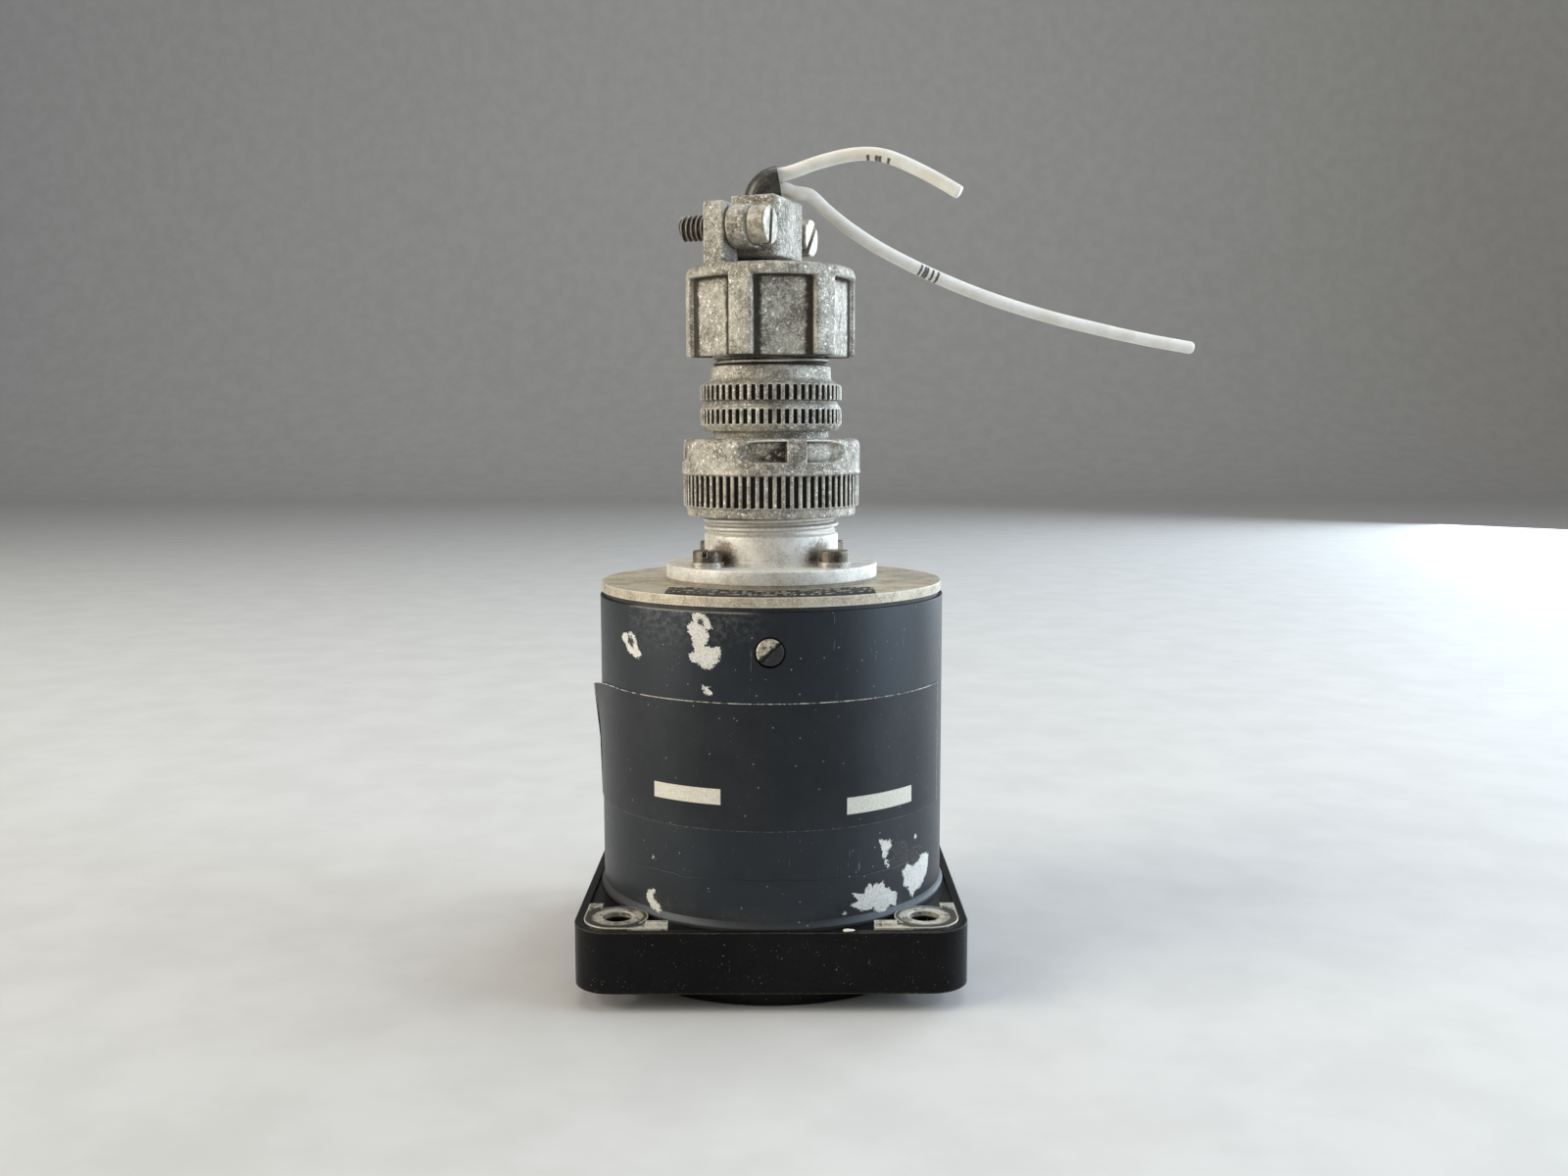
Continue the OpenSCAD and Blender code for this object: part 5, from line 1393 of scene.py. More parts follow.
def slotted_head(radius: float, height: float, slot_w: float, slot_d: float, edge: float, turn: float) -> Grid:
    """A round screw head with a slot, its underside at height 0.

    Rows cross the slot at distance u from its middle line, doubled at plus and minus half its width; a
    row's half length is sqrt(radius^2 - u^2). The top at distance q from the axis is the height less
    edge - sqrt(edge^2 - (q - radius + edge)^2) near the rim, and less the slot's depth within the slot.

    Args:
        radius: The head's radius.
        height: Its height.
        slot_w: The slot's width.
        slot_d: The slot's depth.
        edge: The rounding of its rim.
        turn: How far the slot is turned from the first axis, in degrees.

    Returns:
        The closed grid.
    """
    half = slot_w / 2
    side = radius * np.sin(np.linspace(math.asin(half / radius), math.pi / 2 - 0.02, 16))
    u = np.concatenate([-side[::-1], [-half], np.linspace(-half, half, 3)[1:-1], [half], side])
    u[15], u[-16] = -half, half
    in_slot = np.zeros(len(u), bool)
    in_slot[16:-16] = True
    reach = np.sqrt(np.maximum(radius**2 - u**2, 1e-4))[:, None]
    across = np.sin(np.linspace(-np.pi / 2, np.pi / 2, 25))[None, :]
    v = reach * across
    q = np.sqrt(u[:, None] ** 2 + v**2)
    past = np.clip(q - radius + edge, 0, edge)
    top = height - (edge - np.sqrt(np.maximum(edge**2 - past**2, 0)))
    top = np.where(in_slot[:, None], np.minimum(top, height - slot_d), top)
    v_all = np.concatenate([v, v[:, ::-1]], 1)
    w_all = np.concatenate([top, np.zeros_like(top)], 1)
    u_all = np.repeat(u[:, None], v_all.shape[1], 1)
    c, n = math.cos(math.radians(turn)), math.sin(math.radians(turn))
    return Grid(np.stack([v_all * c - u_all * n, v_all * n + u_all * c, w_all], -1), close_ends=True)


def threaded_shank(radius: float, length: float, pitch: float, depth: float) -> Grid:
    """A screw's shank below its head, with a helical thread.

    The radius loses depth times 0.72 + 0.95 cos 2 pi (h / pitch - a / 2 pi), held from 0 to 1, at depth
    h and angle a, and its tip is bevelled.

    Args:
        radius: The outer radius.
        length: How far it reaches below height 0.
        pitch: The thread's pitch.
        depth: The thread's depth.

    Returns:
        The closed grid.
    """
    h = np.linspace(0.0, length, int(length / pitch * 10) + 2)[:, None]
    a = ring_turn(32)[None, :]
    groove = np.clip(0.72 + 0.95 * np.cos(2 * np.pi * (h / pitch - a / (2 * np.pi))), 0, 1)
    bevel = np.clip((h - length + 0.4) / 0.4, 0, 1) * 0.35
    r = radius - depth * groove * (h > 0.05) - bevel
    return Grid(np.stack([r * np.cos(a), r * np.sin(a), -h + 0 * a], -1), close_ends=True)


def smooth_path(points: Array, per_step: int) -> Array:
    """A smooth line through given points.

    Each stretch is a cubic with the slopes that run between a point's two neighbours: with share t,
    h00 P0 + h10 M0 + h01 P1 + h11 M1, where the h are the cubic Hermite weights.

    Args:
        points: The points, shape (n, 3).
        per_step: Samples on each stretch.

    Returns:
        The line's points.
    """
    slope = np.gradient(points, axis=0)
    slope[0], slope[-1] = points[1] - points[0], points[-1] - points[-2]
    t = np.linspace(0.0, 1.0, per_step, endpoint=False)[None, :, None]
    p0, p1, m0, m1 = points[:-1, None], points[1:, None], slope[:-1, None], slope[1:, None]
    line = (2 * t**3 - 3 * t**2 + 1) * p0 + (t**3 - 2 * t**2 + t) * m0 + (3 * t**2 - 2 * t**3) * p1
    line = line + (t**3 - t**2) * m1
    return np.concatenate([line.reshape(-1, 3), points[-1:]])


def dress(nodes: Mapping[str, Tone]) -> None:
    """Gives CAD nodes their finish and reports each.

    Args:
        nodes: The finish of each node by its name.
    """
    for name, tone in nodes.items():
        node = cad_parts[name]
        if not node.material_slots:
            node.data.materials.append(tone.material())
        for slot in node.material_slots:
            slot.material = tone.material()
        LOG.info("dressed %s as %s", name, tone.value.name)


def cast_round(name: str, cell: float, passes: int) -> None:
    """Rounds a CAD node's edges as a casting's are, by remeshing it finely and smoothing it.

    Args:
        name: The node.
        cell: The remesh's cell, in millimetres.
        passes: Smoothing passes.
    """
    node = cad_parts[name]
    remesh = node.modifiers.new("fine_cells", "REMESH")
    remesh.mode, remesh.voxel_size, remesh.use_smooth_shade = "VOXEL", cell * MM, True
    smooth = node.modifiers.new("cast_edges", "SMOOTH")
    smooth.factor, smooth.iterations = 0.5, passes
    LOG.info("rounded %s", name)


def seat(piece: bpy.types.Object, body: str, node: str = "") -> bpy.types.Object:
    """Puts a piece on its body, in a node's place where one is named, and reports it.

    Args:
        piece: The piece.
        body: The body that it rides on.
        node: The CAD node that it stands for, or nothing.

    Returns:
        The piece.
    """
    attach(piece, body)
    if node:
        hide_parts(node)
    LOG.info("made %s on %s", piece.name, body)
    return piece


# Camera and studio


@dataclass(frozen=True)
class PhotoCamera:
    """The photograph's viewpoint, in millimetres and degrees."""

    place: tuple[float, float, float] = (2.09, -236.15, 87.48)
    pitch: float = 6.394
    roll: float = -0.13
    lens: float = 32.726
    sensor: float = 36.0

    def build(self) -> None:
        """Makes the camera and sets it as the scene's."""
        data = bpy.data.cameras.new("photo_camera")
        data.lens, data.sensor_width, data.sensor_fit = self.lens, self.sensor, "HORIZONTAL"
        data.clip_start, data.clip_end = 0.005, 20.0
        camera = bpy.data.objects.new("photo_camera", data)
        tilt = Euler((math.radians(90 - self.pitch), 0, 0)).to_matrix().to_4x4()
        spin = Matrix.Rotation(math.radians(self.roll), 4, "Z")
        place = Matrix.Translation([v * MM for v in self.place])
        camera.matrix_world = place @ tilt @ spin
        bpy.context.scene.collection.objects.link(camera)
        bpy.context.scene.camera = camera


@dataclass(frozen=True)
class SoftBox:
    """One soft lamp: where it stands, what it faces, its size in metres and its light in watts."""

    name: str
    place: tuple[float, float, float]
    target: tuple[float, float, float]
    size: tuple[float, float]
    power: float
    colour: Colour

    def build(self) -> None:
        """Makes the lamp, turned from its place to its target."""
        data = bpy.data.lights.new(self.name, "AREA")
        data.shape, data.size, data.size_y = "RECTANGLE", self.size[0], self.size[1]
        data.energy, data.color = self.power, self.colour
        lamp = bpy.data.objects.new(self.name, data)
        start, end = np.array(self.place), np.array(self.target)
        way = (end - start) / np.linalg.norm(end - start)
        side = np.cross(way, [0.0, 0.0, 1.0])
        side /= np.linalg.norm(side)
        up = np.cross(side, way)
        turn = Matrix((tuple(side), tuple(up), tuple(-way))).transposed().to_4x4()
        lamp.matrix_world = Matrix.Translation(self.place) @ turn
        bpy.context.scene.collection.objects.link(lamp)


@dataclass
class Studio:
    """Pale floor that sweeps up behind the gauge, soft lamps and an even surround, in metres."""

    floor_half: float = 1.6
    floor_front: float = 1.2
    floor_depth: float = 1.5
    sweep_r: float = 0.5
    wall: float = 1.2
    lamps: tuple[SoftBox, ...] = (
        SoftBox("left_window", (-0.93, -0.31, 0.49), (0.0, 0.0, 0.07), (0.62, 0.85), 10.4, (1.0, 0.93, 0.80)),
        SoftBox("right_window", (0.93, -0.075, 0.37), (0.0, 0.0, 0.07), (0.75, 0.78), 10.2, (0.72, 0.86, 1.0)),
        SoftBox("rear_window", (0.75, 0.78, 0.35), (0.0, 0.0, 0.08), (0.6, 0.75), 7.6, (0.76, 0.88, 1.0)),
        SoftBox("overhead", (0.05, 0.1, 0.75), (0.0, 0.0, 0.05), (0.7, 0.6), 2.2, (1.0, 1.0, 1.0)),
    )

    def build(self) -> None:
        """Makes the floor, the lamps and the world."""
        self._sweep()
        for lamp in self.lamps:
            lamp.build()
        world = bpy.data.worlds.new("studio_surround")
        world.use_nodes = True
        back = world.node_tree.nodes["Background"]
        back.inputs["Color"].default_value = (0.78, 0.79, 0.8, 1.0)
        back.inputs["Strength"].default_value = 0.26
        bpy.context.scene.world = world
        bpy.context.scene.view_settings.view_transform = "Standard"
        LOG.info("studio ready")

    def _sweep(self) -> bpy.types.Object:
        """The floor and wall as one bent sheet.

        Its side line runs flat to the bend, follows a quarter circle of the sweep's radius, and runs
        up the wall; the line is carried across the floor's width.

        Returns:
            The sheet, painted.
        """
        quarter = np.linspace(0.0, np.pi / 2, 17)
        back, rise = self.floor_depth + self.sweep_r * np.sin(quarter), self.sweep_r * (1 - np.cos(quarter))
        top = (self.floor_depth + self.sweep_r, self.sweep_r + self.wall)
        line = np.concatenate([[(-self.floor_front, 0.0)], np.stack([back, rise], 1), [top]])
        x, y = np.meshgrid([-self.floor_half, self.floor_half], line[:, 0])
        corners = np.stack([x, y, np.repeat(line[:, 1:2], 2, 1)], -1).reshape(-1, 3)
        rows = len(line)
        row = np.arange(rows - 1)
        quads = np.stack([2 * row, 2 * row + 1, 2 * row + 3, 2 * row + 2], 1)
        mesh = bpy.data.meshes.new("studio_floor")
        mesh.from_pydata(corners.tolist(), [], quads.tolist())
        mesh.polygons.foreach_set("use_smooth", np.ones(rows - 1, bool))
        mesh.update()
        floor = bpy.data.objects.new("studio_floor", mesh)
        bpy.context.scene.collection.objects.link(floor)
        shader = Shader("studio_floor_paint")
        fine = shader.noise(shader.place(), 0.05, 4.0, 0.6)
        colour = shader.mix(fine.step(0.35, 0.65), (0.60, 0.59, 0.57), (0.64, 0.63, 0.61))
        floor.data.materials.append(shader.finish(Base_Color=colour, Roughness=0.7))
        return floor


# The gauge's pieces


@dataclass
class FreeWires:
    """The two cut wires that leave the clamp's sleeve.

    The sleeve rises at its passage through the clamp, bends over by an angle in degrees round a
    radius, and ends a little past the bend.
    """

    wire_r: float = 1.08
    apart: float = 1.12
    passage: tuple[float, float] = (-1.7678, 0.6963)
    bend_r: float = 3.4
    bend: float = 80.0
    bend_z: float = 123.7
    past_bend: float = 0.4
    cut_round: float = 0.5
    long_steps: tuple[tuple[float, float, float], ...] = (
        (0.5, 0, 0.09), (1.1, 0.1, -0.06), (1.9, 0.3, -0.38), (2.9, 0.5, -0.56), (3.9, 0.8, -0.63),
        (4.8, 1.0, -0.86), (5.9, 1.25, -1.7), (7.3, 1.55, -3.0), (9.3, 1.9, -4.6), (12, 2.4, -6.5),
        (16.6, 3.5, -9.2), (23.3, 5.3, -12.3), (31, 7.3, -15.3), (38.7, 9.3, -17.75),
        (46.4, 11.3, -19.75), (54.4, 13.2, -21.5), (63, 15, -23.2), (72.4, 17, -24.7),
    )
    short_steps: tuple[tuple[float, float, float], ...] = (
        (1.5, 0, 0.3), (3.2, 0, 0.8), (5.4, 0, 1.6), (7.8, -0.1, 2.3), (10.5, -0.3, 2.9),
        (13.2, -0.6, 3.2), (15.6, -0.9, 3.1), (17.8, -1.3, 2.6), (20, -1.7, 1.7),
        (23.2, -2.3, 0.1), (26, -2.9, -1.5), (29.2, -3.6, -3.5),
    )

    def tip(self) -> tuple[Array, Array]:
        """Where the sleeve ends.

        Returns:
            The middle of its end, and the direction up the end's face.
        """
        a = math.radians(self.bend)
        out, up = np.array([math.sin(a), 0, math.cos(a)]), np.array([-math.cos(a), 0, math.sin(a)])
        foot = np.array([*self.passage, self.bend_z])
        end = foot + self.bend_r * np.array([1 - math.cos(a), 0, math.sin(a)])
        return end + self.past_bend * out, up

    def build(self) -> None:
        self._wire("wire_long_cord", "wire_long", -1, self.long_steps, Tone.LONG)
        self._wire("wire_short_cord", "wire_short", 1, self.short_steps, Tone.SHORT)

    def _wire(
        self, name: str, node: str, side: int, steps: Sequence[tuple[float, float, float]], tone: Tone
    ) -> None:
        """One wire along its route, its cut end rounded off.

        Over the end's rounded stretch the radius is r (0.55 + 0.45 sqrt(1 - s^2)), where s is the share
        of the stretch.

        Args:
            name: The piece's name.
            node: The CAD node that it stands for.
            side: 1 for the upper wire at the sleeve's end and -1 for the lower one.
            steps: The route's points after its start, counted from it.
            tone: Its finish.
        """
        middle, up = self.tip()
        start = middle + side * self.apart * up
        route = np.concatenate([start[None], start + np.array(steps)])
        path = smooth_path(route, 10)
        run = np.concatenate([[0.0], np.cumsum(np.linalg.norm(np.diff(path, axis=0), axis=1))])
        length = float(run[-1])
        full = length - self.cut_round
        places = np.concatenate([run[run < full], np.linspace(full, length, 7)[1:]])
        line = np.stack([np.interp(places, run, path[:, i]) for i in range(3)], 1)
        share = np.clip((places - full) / self.cut_round, 0, 1)
        radius = self.wire_r * (0.55 + 0.45 * np.sqrt(np.maximum(1 - share**2, 0)))
        piece = surface_of(name, [swept(line, radius, 24, places)], tone, 60.0)
        seat(piece, "plug", node)
        LOG.info("%s is %.1f mm long", name, length)


@dataclass
class Case:
    """The black tube, its label and screws, and the flange with its corner plates."""

    case_r: float = CASE_R
    label_t: float = 0.12
    label_low: float = LABEL_LOW
    label_high: float = LABEL_HIGH
    label_start: float = -82.0
    label_end: float = 70.2
    peel: float = 22.0
    lift: float = 1.15
    drop: float = 1.1
    screw_head_h: float = 0.9
    screw_proud: float = 0.15

    def build(self) -> None:
        """Makes the label's film and an old blob of paint, and dresses the nodes."""
        dress({
            "bezel_flange": Tone.FLANGE,
            "mounting_nut_plates": Tone.PLATE,
            "case_shell": Tone.CASE,
            "case_gasket": Tone.RUBBER,
            "back_plate": Tone.BACK,
            "plate_decal": Tone.DECAL,
        })
        seat(surface_of("label_film", [self._film()], Tone.LABEL, 60.0), "gauge", "case_label")
        seat(surface_of("flange_paint_blob", [self._blob()], Tone.BLOB, 60.0), "gauge")
        seat(surface_of("case_screw_heads", self._screws(), Tone.CASE_SCREW), "gauge", "case_screws")

    def _film(self) -> Grid:
        """The film as a thin closed strip bent round the case.

        At angle a and height z its inner face lies 0.03 to 0.07 mm off the paint. Over the last degrees
        at its left end it peels: the top corner lifts as the cube of the share s and sinks by drop s^2.

        Returns:
            The closed grid: columns run round the strip's edge section, rows along the label. Its map
            holds the distance round the case and the height, in the map's units.
        """
        angle = np.radians(np.linspace(self.label_start, self.label_end, 260))
        z = np.linspace(self.label_low, self.label_high, 48)
        section_z = np.concatenate([z, z[::-1]])
        outer = np.concatenate([np.ones_like(z), np.zeros_like(z)])
        share = np.clip((self.label_start + self.peel - np.degrees(angle)) / self.peel, 0, 1)[:, None]
        up = np.clip((section_z - self.label_low) / (self.label_high - self.label_low), 0, 1)[None, :]
        peeled = share**3 * np.clip((up - 0.35) / 0.65, 0, 1) ** 1.6
        ripple = 0.02 * np.sin(9 * angle)[:, None] * np.sin(0.5 * section_z)[None, :]
        r = self.case_r + 0.05 + self.label_t * outer[None, :] + self.lift * peeled + ripple
        zz = section_z[None, :] - self.drop * share**2 * up**2
        points = np.stack([r * np.sin(angle)[:, None], -r * np.cos(angle)[:, None], zz], -1)
        around = np.repeat((angle * (self.case_r + 0.15))[:, None], len(section_z), 1)
        mapped = np.stack([around, np.repeat(section_z[None, :], len(angle), 0)], -1) / MAP_UNIT
        return Grid(points, close_ends=True, map=mapped)

    @staticmethod
    def _blob() -> Grid:
        """A flat blob of cream paint on the flange's rim.

        A ball with three half-sizes, its outline waved by 0.16 cos 3a + 0.1 sin 5a.

        Returns:
            The closed grid.
        """
        middle, half = np.array([11.6, -29.45, 12.62]), np.array([0.85, 0.45, 0.22])
        tilt = np.linspace(-1.45, 1.45, 12)[:, None]
        a = ring_turn(30)[None, :]
        wave = 1 + 0.16 * np.cos(3 * a) + 0.1 * np.sin(5 * a)
        ball = [np.cos(tilt) * np.cos(a) * wave, np.cos(tilt) * np.sin(a) * wave, np.sin(tilt) + 0 * a]
        return Grid(middle + half * np.stack(ball, -1), close_ends=True)

    def _screws(self) -> list[Grid]:
        """The three radial screws: slotted heads on threaded shanks.

        Returns:
            A head and a shank for each.
        """
        grids = []
        for turn in (-90.0, 30.0, 150.0):
            a = math.radians(turn)
            axis = np.array([math.cos(a), math.sin(a), 0.0])
            seat_r = self.case_r + self.screw_proud - self.screw_head_h
            seat_at = axis * seat_r + np.array([0.0, 0.0, CASE_SCREW_Z])
            frame = (np.array([-math.sin(a), math.cos(a), 0.0]), np.array([0.0, 0.0, 1.0]), axis)
            head = slotted_head(
                radius=2.05, height=self.screw_head_h, slot_w=0.6, slot_d=0.45, edge=0.2, turn=45.0
            )
            shank = threaded_shank(radius=1.15, length=2.6, pitch=0.5, depth=0.18)
            grids += [head.moved(seat_at, frame), shank.moved(seat_at, frame)]
        return grids


@dataclass
class Receptacle:
    """The bare threaded shell on the back plate, with its screws, gasket and contacts."""

    flange_r: float = 17.45
    flange_z: tuple[float, float] = (63.2, 65.5)
    barrel_r: float = 11.05
    thread_z: tuple[float, float] = (70.6, 81.6)
    crest_r: float = 11.1
    bore_r: float = 9.55
    pitch: float = COUPLING_PITCH
    depth: float = 0.75
    screw_at: float = 10.05
    washer_t: float = 0.8
    slot_turns: tuple[float, ...] = (80.0, 15.0, 60.0, 130.0)

    def build(self) -> None:
        """Makes the threaded shell and dresses what is round and in it."""
        piece = surface_of("receptacle_threaded", [self._shell()], Tone.SHELL)
        seat(piece, "gauge", "receptacle_shell")
        dress({
            "receptacle_gasket": Tone.GASKET,
            "receptacle_insert": Tone.INSERT,
            "contact_pins": Tone.BRASS,
            "flange_lockwashers": Tone.WASHER,
        })
        seat(surface_of("flange_screw_set", self._screws(), Tone.FLANGE_SCREW), "gauge", "flange_screws")

    def _screws(self) -> list[Grid]:
        """The four flange screws, each with its slot turned its own way.

        Returns:
            A head and a shank for each.
        """
        flat = tuple(np.eye(3))
        grids = []
        for side, (x, y) in enumerate(((-1, -1), (1, -1), (1, 1), (-1, 1))):
            seat_at = np.array([x * self.screw_at, y * self.screw_at, self.flange_z[1] + self.washer_t])
            head = slotted_head(
                radius=2.35, height=1.9, slot_w=0.75, slot_d=0.95, edge=0.3, turn=self.slot_turns[side]
            )
            shank = threaded_shank(radius=1.4, length=5.6, pitch=0.6, depth=0.15)
            grids += [head.moved(seat_at, flat), shank.moved(seat_at, flat)]
        return grids

    def _shell(self) -> Grid:
        """The shell's section carried round, with a helical thread.

        Between the thread's ends the radius is the crest less the depth times a rounded tooth wave of
        the height less the pitch times the share of the turn.

        Returns:
            The closed grid.
        """
        low, high = self.flange_z
        start, end = self.thread_z
        outline = [
            (8.7, 56.0), (10.8, 56.0), (10.8, low), (self.flange_r, low), (self.flange_r, high),
            (self.barrel_r + 0.7, high), (self.barrel_r, high + 0.7), (self.barrel_r, start - 0.4),
            (self.crest_r - self.depth, start), (self.crest_r - self.depth, end), (self.bore_r, end),
            (self.bore_r, 57.0), (8.7, 57.0),
        ]
        profile = densified(softened(outline, 0.28), 1.6)
        in_thread = (profile[:, 0] > self.crest_r - self.depth - 0.05) & (profile[:, 1] > start - 0.02)
        first, last = np.flatnonzero(in_thread)[[0, -1]]
        z = np.linspace(profile[first, 1], end - 0.15, 110)
        middle = np.stack([np.full_like(z, self.crest_r - self.depth), z], 1)
        profile = np.concatenate([profile[:first], middle, profile[last + 1:]])
        angle = ring_turn(160)
        radius = np.repeat(profile[:, :1], len(angle), 1)
        phase = (z[:, None] - start) / self.pitch - angle[None, :] / (2 * np.pi)
        tooth = np.clip(0.5 + 0.95 * np.cos(2 * np.pi * phase), 0, 1)
        fade = step01(z, start, start + 0.5) * step01(z, end - 0.1, end - 0.6)
        radius[first:first + len(z)] += self.depth * tooth * fade[:, None]
        return turned(radius, profile[:, 1], angle)


@dataclass
class PlugBody:
    """The plug: knurled coupling ring, end bell and what is in them."""

    ring_r: float = 14.6
    ring_z: tuple[float, float] = (73.3, 85.85)
    ring_teeth: int = 66
    bell_teeth: int = 54
    knurl_depth: float = 0.6
    lug_turn: float = 16.5
    web: tuple[float, float] = (-1.5, 1.7)
    hole_z: float = 83.8
    hole_r: float = 1.62
    hole_off: float = 13.25
    wall_r: float = 13.4
    bell_z: float = 87.0

    def build(self) -> None:
        """Makes the ring and the end bell and dresses the rest."""
        ring = surface_of("coupling_ring_knurled", [self._ring()], Tone.RING, 32.0)
        seat(ring, "coupling_ring", "coupling_ring")
        bell = surface_of("end_bell_knurled", [self._bell()], Tone.BELL, 32.0)
        seat(bell, "plug", "end_bell")
        dress({
            "plug_shell": Tone.NECK,
            "plug_insert": Tone.INSERT,
            "socket_contacts": Tone.BRASS,
            "plug_leads": Tone.LEAD,
            "coupling_snap_ring": Tone.STEEL,
        })

    @staticmethod
    def _tooth(teeth: int, land: float) -> tuple[Array, Array]:
        """Angles and depths of a straight knurl.

        Over one tooth the depth is 0 on the land, rises smoothly over its flank and is 1 in the slot.

        Args:
            teeth: How many teeth.
            land: The land's share of a tooth.

        Returns:
            The angles of a full turn, and the depth at each, from 0 to 1.
        """
        half = land / 2
        share = np.array([
            -half, -half * 0.45, half * 0.45, half, half + 0.05, half + 0.1, 0.5, 0.9 - half, 0.95 - half
        ])
        depth = np.array([0.12, 0.0, 0.0, 0.12, 0.6, 0.96, 1.0, 0.96, 0.6])
        turn = (np.arange(teeth)[:, None] + share[None, :]) / teeth
        return 2 * np.pi * turn.ravel(), np.tile(depth, teeth)

    def _ring(self) -> Grid:
        """The coupling ring.

        Its section is carried round. On the knurl the radius loses the tooth's depth, faded at both
        ends. Behind it, three lockwire holes run along the rim: in the direction out from the middle of
        each, the metal is cut away beyond hole_off - sqrt(hole_r^2 - h^2) at height h from the hole's
        middle, except where the web stands.

        Returns:
            The closed grid.
        """
        low, high = self.ring_z
        r = self.ring_r
        outline = [
            (11.3, low), (r - 0.75, low), (r - 0.65, low + 1.5), (r - 0.15, low + 1.62), (r - 0.15, low + 1.95),
            (r - 0.15, low + 6.4), (r - 0.15, low + 6.78), (r + 0.12, low + 6.86), (r + 0.12, low + 7.2),
            (r, low + 7.4), (r, high - 1.0), (r - 0.3, high - 0.3), (r - 1.0, high), (9.75, high),
            (9.75, high - 1.8), (12.75, high - 1.8), (12.75, low + 7.2), (11.3, low + 7.2),
        ]
        profile = densified(softened(outline, 0.3), 3.0, (r - 1.1, low + 7.3, high, 0.16))
        angle, depth = self._tooth(self.ring_teeth, 0.42)
        z = profile[:, 1][:, None]
        outer = (profile[:, 0] > r - 0.9)[:, None]
        knurl = step01(z, low + 1.55, low + 1.95) * step01(z, low + 6.82, low + 6.4) * outer
        radius = profile[:, :1] - self.knurl_depth * 1.25 * depth[None, :] * knurl
        rise = z - self.hole_z
        open_here = (np.abs(rise) < self.hole_r) & (profile[:, :1] > self.wall_r)
        floor = self.hole_off - np.sqrt(np.maximum(self.hole_r**2 - rise**2, 0))
        for lug in range(3):
            middle = -np.pi / 2 + math.radians(self.lug_turn) + 2 * np.pi * lug / 3
            turn = np.mod(angle - middle + np.pi, 2 * np.pi) - np.pi
            side = r * np.sin(turn)[None, :]
            cut = np.maximum(floor / np.maximum(np.cos(turn)[None, :], 0.2), self.wall_r)
            near = (np.abs(turn) < 0.9)[None, :] & open_here & ((side < self.web[0]) | (side > self.web[1]))
            radius = np.where(near, np.minimum(radius, cut), radius)
        return turned(radius, profile[:, 1], angle)

    def _bell(self) -> Grid:
        """The end bell: two knurled bands, a coned shoulder and a helical rear thread.

        Returns:
            The closed grid, its radius made as on the ring and the receptacle.
        """
        z0 = self.bell_z
        outline = [
            (9.6, z0), (10.8, z0), (11.4, z0 + 0.95), (11.55, z0 + 1.15), (11.6, z0 + 1.25), (11.6, z0 + 3.4),
            (11.55, z0 + 3.55), (11.0, z0 + 4.4), (10.9, z0 + 4.55), (10.9, z0 + 4.9), (11.6, z0 + 4.98),
            (11.6, z0 + 7.2), (11.45, z0 + 7.4), (11.1, z0 + 7.6), (10.2, z0 + 8.1), (9.85, z0 + 8.45),
            (9.8, z0 + 10.4), (8.8, z0 + 10.7), (8.8, z0 + 19.4), (7.6, z0 + 19.4), (7.6, z0 + 6.8),
            (9.6, z0 + 6.8),
        ]
        profile = densified(softened(outline, 0.22), 3.0, (8.75, z0 + 0.9, z0 + 19.4, 0.3))
        angle, depth = self._tooth(self.bell_teeth, 0.45)
        z = profile[:, 1][:, None]
        outer = (profile[:, 0] > 10.6)[:, None]
        knurl = step01(z, z0 + 1.1, z0 + 1.35) * step01(z, z0 + 3.6, z0 + 3.3)
        knurl = knurl + step01(z, z0 + 4.9, z0 + 5.1) * step01(z, z0 + 7.45, z0 + 7.1)
        radius = profile[:, :1] - self.knurl_depth * 1.25 * depth[None, :] * knurl * outer
        thread = ((profile[:, 0] > 8.7) & (profile[:, 0] < 9.0))[:, None]
        phase = (z - z0) / COUPLING_PITCH - angle[None, :] / (2 * np.pi)
        tooth = np.clip(0.5 + 0.95 * np.cos(2 * np.pi * phase), 0, 1)
        fade = step01(z, z0 + 10.5, z0 + 11.0) * step01(z, z0 + 19.4, z0 + 18.9)
        radius = radius + 0.7 * tooth * thread * fade
        return turned(radius, profile[:, 1], angle)


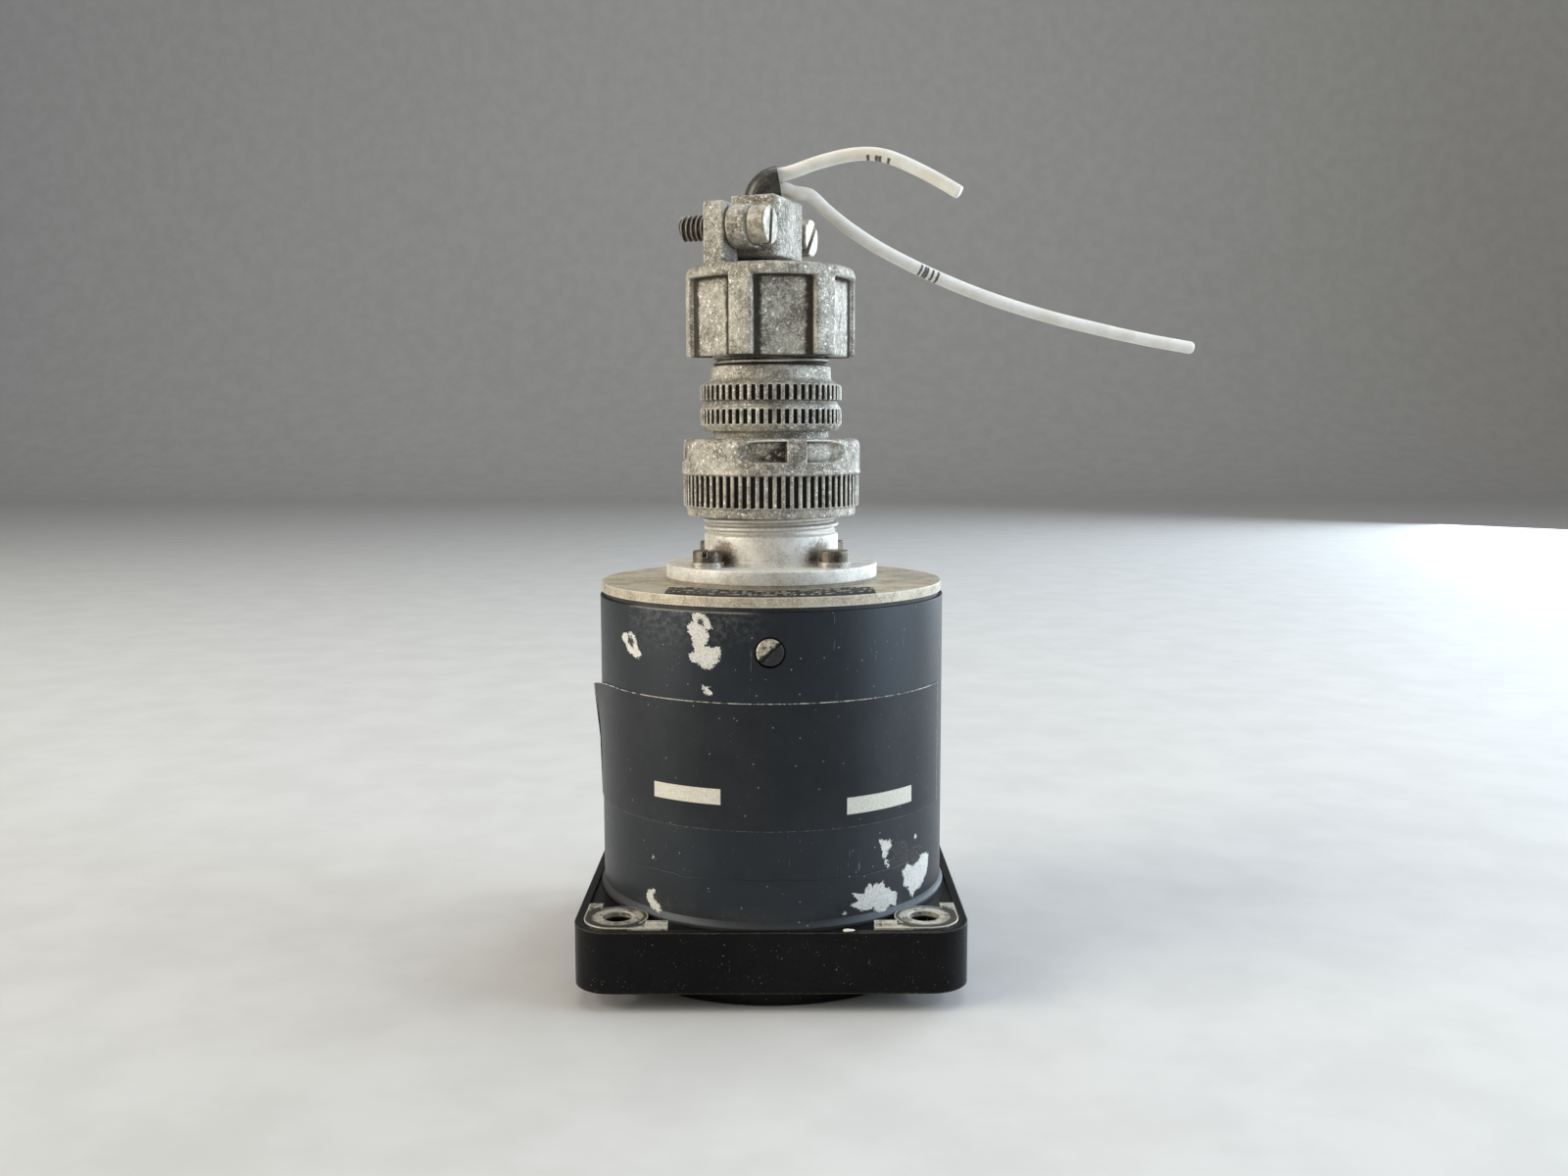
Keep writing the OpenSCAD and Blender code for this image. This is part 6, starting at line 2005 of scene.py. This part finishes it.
@dataclass
class CableClamp:
    """The clamp at the plug's rear: nut, jaws, screws, grommet and sleeve."""

    turn: float = -21.5
    screw_y: float = 9.1
    screw_z: float = 119.0
    head_x: float = 1.2
    tail_x: float = -11.4

    def build(self) -> None:
        """Rounds the cast pieces, makes the screws and dresses the rest."""
        dress({
            "clamp_body": Tone.NUT,
            "clamp_saddle": Tone.CLAMP,
            "clamp_lockwashers": Tone.SCREW,
            "clamp_grommet": Tone.RUBBER,
            "wire_sleeve": Tone.SLEEVE,
        })
        cast_round("clamp_body", 0.22, 2)
        cast_round("clamp_saddle", 0.16, 3)
        heads, shanks = self._screws()
        seat(surface_of("clamp_screw_heads", heads, Tone.SCREW), "saddle", "clamp_screws")
        seat(surface_of("clamp_screw_shanks", shanks, Tone.THREAD, 25.0), "saddle", "clamp_screws")

    def _screws(self) -> tuple[list[Grid], list[Grid]]:
        """Both screws, across the clamp.

        Returns:
            Their slotted heads, and their threaded shanks.
        """
        a = math.radians(self.turn)
        along = np.array([math.cos(a), math.sin(a), 0.0])
        across = np.array([-math.sin(a), math.cos(a), 0.0])
        frame = (across, np.array([0.0, 0.0, 1.0]), along)
        heads, shanks = [], []
        for side, slot in ((-1, 82.0), (1, 50.0)):
            seat_at = along * self.head_x + across * side * self.screw_y + np.array([0.0, 0.0, self.screw_z])
            head = slotted_head(radius=3.15, height=2.6, slot_w=1.2, slot_d=1.4, edge=0.4, turn=slot)
            shank = threaded_shank(radius=2.06, length=self.head_x - self.tail_x, pitch=0.85, depth=0.42)
            heads.append(head.moved(seat_at, frame))
            shanks.append(shank.moved(seat_at, frame))
        return heads, shanks


@dataclass
class WindowAndDial:
    """The window, the dial with its printed scale, and the movement behind it."""

    dial_z: float = 6.6
    scale_r: float = 21.0
    sweep: int = 50
    print_t: float = 0.03
    print_gap: float = 0.005
    numeral_r: float = 15.6
    numeral_h: float = 3.6
    unit_down: float = 13.5
    caution: tuple[float, float] = (-15.0, 5.0)
    caution_r: tuple[float, float] = (17.6, 18.5)

    def build(self) -> None:
        """Dresses the nodes and lays the scale's marks on the dial."""
        seat(surface_of("dial_marks", self._marks(), Tone.PRINT), "gauge")
        seat(surface_of("dial_band", [self._arc(*self.caution, *self.caution_r)], Tone.YELLOW), "gauge")
        for value in range(-40, 41, 20):
            a = math.radians(value)
            name = f"dial_{'minus_' * (value < 0)}{abs(value)}"
            right, up = self.numeral_r * math.sin(a), self.numeral_r * math.cos(a)
            self._numeral(name, str(value).replace("-", "\u2212"), right, up)
        self._numeral("dial_unit", "\u00b0C", 0.0, -self.unit_down)
        dress({
            "glass_snap_ring": Tone.STEEL,
            "cover_glass": Tone.GLASS,
            "glass_gasket": Tone.RUBBER,
            "dial_spacer_ring": Tone.DIAL,
            "dial_plate": Tone.DIAL,
            "dial_screws": Tone.STEEL,
            "dial_posts": Tone.BRASS,
            "pointer": Tone.POINTER,
            "pivot_staffs": Tone.STEEL,
            "moving_coil": Tone.COPPER,
            "balance_weights": Tone.BRASS,
            "hairsprings": Tone.BRASS,
            "spring_arms": Tone.BRASS,
            "front_bridge": Tone.BRASS,
            "rear_bridge": Tone.BRASS,
            "bridge_screws": Tone.STEEL,
            "front_jewel_screw": Tone.BRASS,
            "rear_jewel_screw": Tone.BRASS,
            "magnet": Tone.IRON,
            "pole_pieces": Tone.IRON,
            "pole_screws": Tone.STEEL,
            "iron_core": Tone.IRON,
            "core_bracket": Tone.BRASS,
            "movement_base": Tone.BACK,
            "movement_screws": Tone.STEEL,
            "frame_pillars": Tone.BRASS,
            "terminal_board": Tone.BOARD,
            "board_screws": Tone.STEEL,
            "resistor_spools": Tone.BOARD,
            "terminal_lugs": Tone.BRASS,
            "internal_leads": Tone.LEAD,
        })

    def _arc(self, first: float, last: float, inner: float, outer: float) -> Grid:
        """A thin strip on the dial's front between two angles and two radii.

        At radius r and angle a from the top it lies at (-r sin a, r cos a), so that a reader in front
        of the dial sees a grow clockwise.

        Args:
            first: The angle at which it starts, in degrees.
            last: The angle at which it ends.
            inner: Its inner radius.
            outer: Its outer radius.

        Returns:
            The closed grid.
        """
        a = np.radians(np.linspace(first, last, max(2, int((last - first) * 2))))[:, None]
        r = np.array([inner, outer, outer, inner])[None, :]
        z = self.dial_z - self.print_gap - self.print_t * np.array([0.0, 0.0, 1.0, 1.0])[None, :] + 0 * a
        return Grid(np.stack([-r * np.sin(a), r * np.cos(a), z], -1), close_ends=True)

    def _marks(self) -> list[Grid]:
        """The scale's line and its strokes: every 5 degrees, longer at 10 and longest at 20.

        Returns:
            The line's grid, and one for each stroke.
        """
        grids = [self._arc(-self.sweep, self.sweep, self.scale_r - 0.12, self.scale_r + 0.12)]
        for value in range(-self.sweep, self.sweep + 1, 5):
            longest, longer = value % 20 == 0, value % 10 == 0
            length, width = (2.6, 0.55) if longest else (1.9, 0.4) if longer else (1.1, 0.28)
            half = math.degrees(width / 2 / self.scale_r)
            grids.append(self._arc(value - half, value + half, self.scale_r - length, self.scale_r))
        return grids

    def _numeral(self, name: str, text: str, right: float, up: float) -> None:
        """Plain lettering on the dial's front.

        Args:
            name: The piece's name.
            text: What it says.
            right: How far right of the middle it stands as a reader sees it.
            up: How far up.
        """
        curve = bpy.data.curves.new(name, "FONT")
        curve.body, curve.size, curve.extrude = text, self.numeral_h * MM, self.print_t / 2 * MM
        curve.align_x, curve.align_y, curve.resolution_u = "CENTER", "CENTER", 4
        holder = bpy.data.objects.new(name, curve)
        mesh = bpy.data.meshes.new_from_object(holder)
        bpy.data.objects.remove(holder)
        letters = bmesh.new()
        letters.from_mesh(mesh)
        bmesh.ops.remove_doubles(letters, verts=letters.verts, dist=1e-7)
        middle_z = self.dial_z - self.print_gap - self.print_t / 2
        for vertex in letters.verts:
            x, y, z = vertex.co
            vertex.co = (-x - right * MM, y + up * MM, middle_z * MM - z)
        letters.to_mesh(mesh)
        letters.free()
        mesh.name = name
        mesh.materials.clear()
        mesh.materials.append(Tone.PRINT.material())
        piece = bpy.data.objects.new(name, mesh)
        bpy.context.scene.collection.objects.link(piece)
        seat(piece, "gauge")


def main() -> None:
    """Builds the scene: camera and wires first, then the gauge from its front to its plug."""
    logging.basicConfig(level=logging.INFO, format="%(name)s: %(message)s")
    PhotoCamera().build()
    FreeWires().build()
    Studio().build()
    Case().build()
    Receptacle().build()
    PlugBody().build()
    CableClamp().build()
    WindowAndDial().build()


if __name__ == "__main__":
    main()
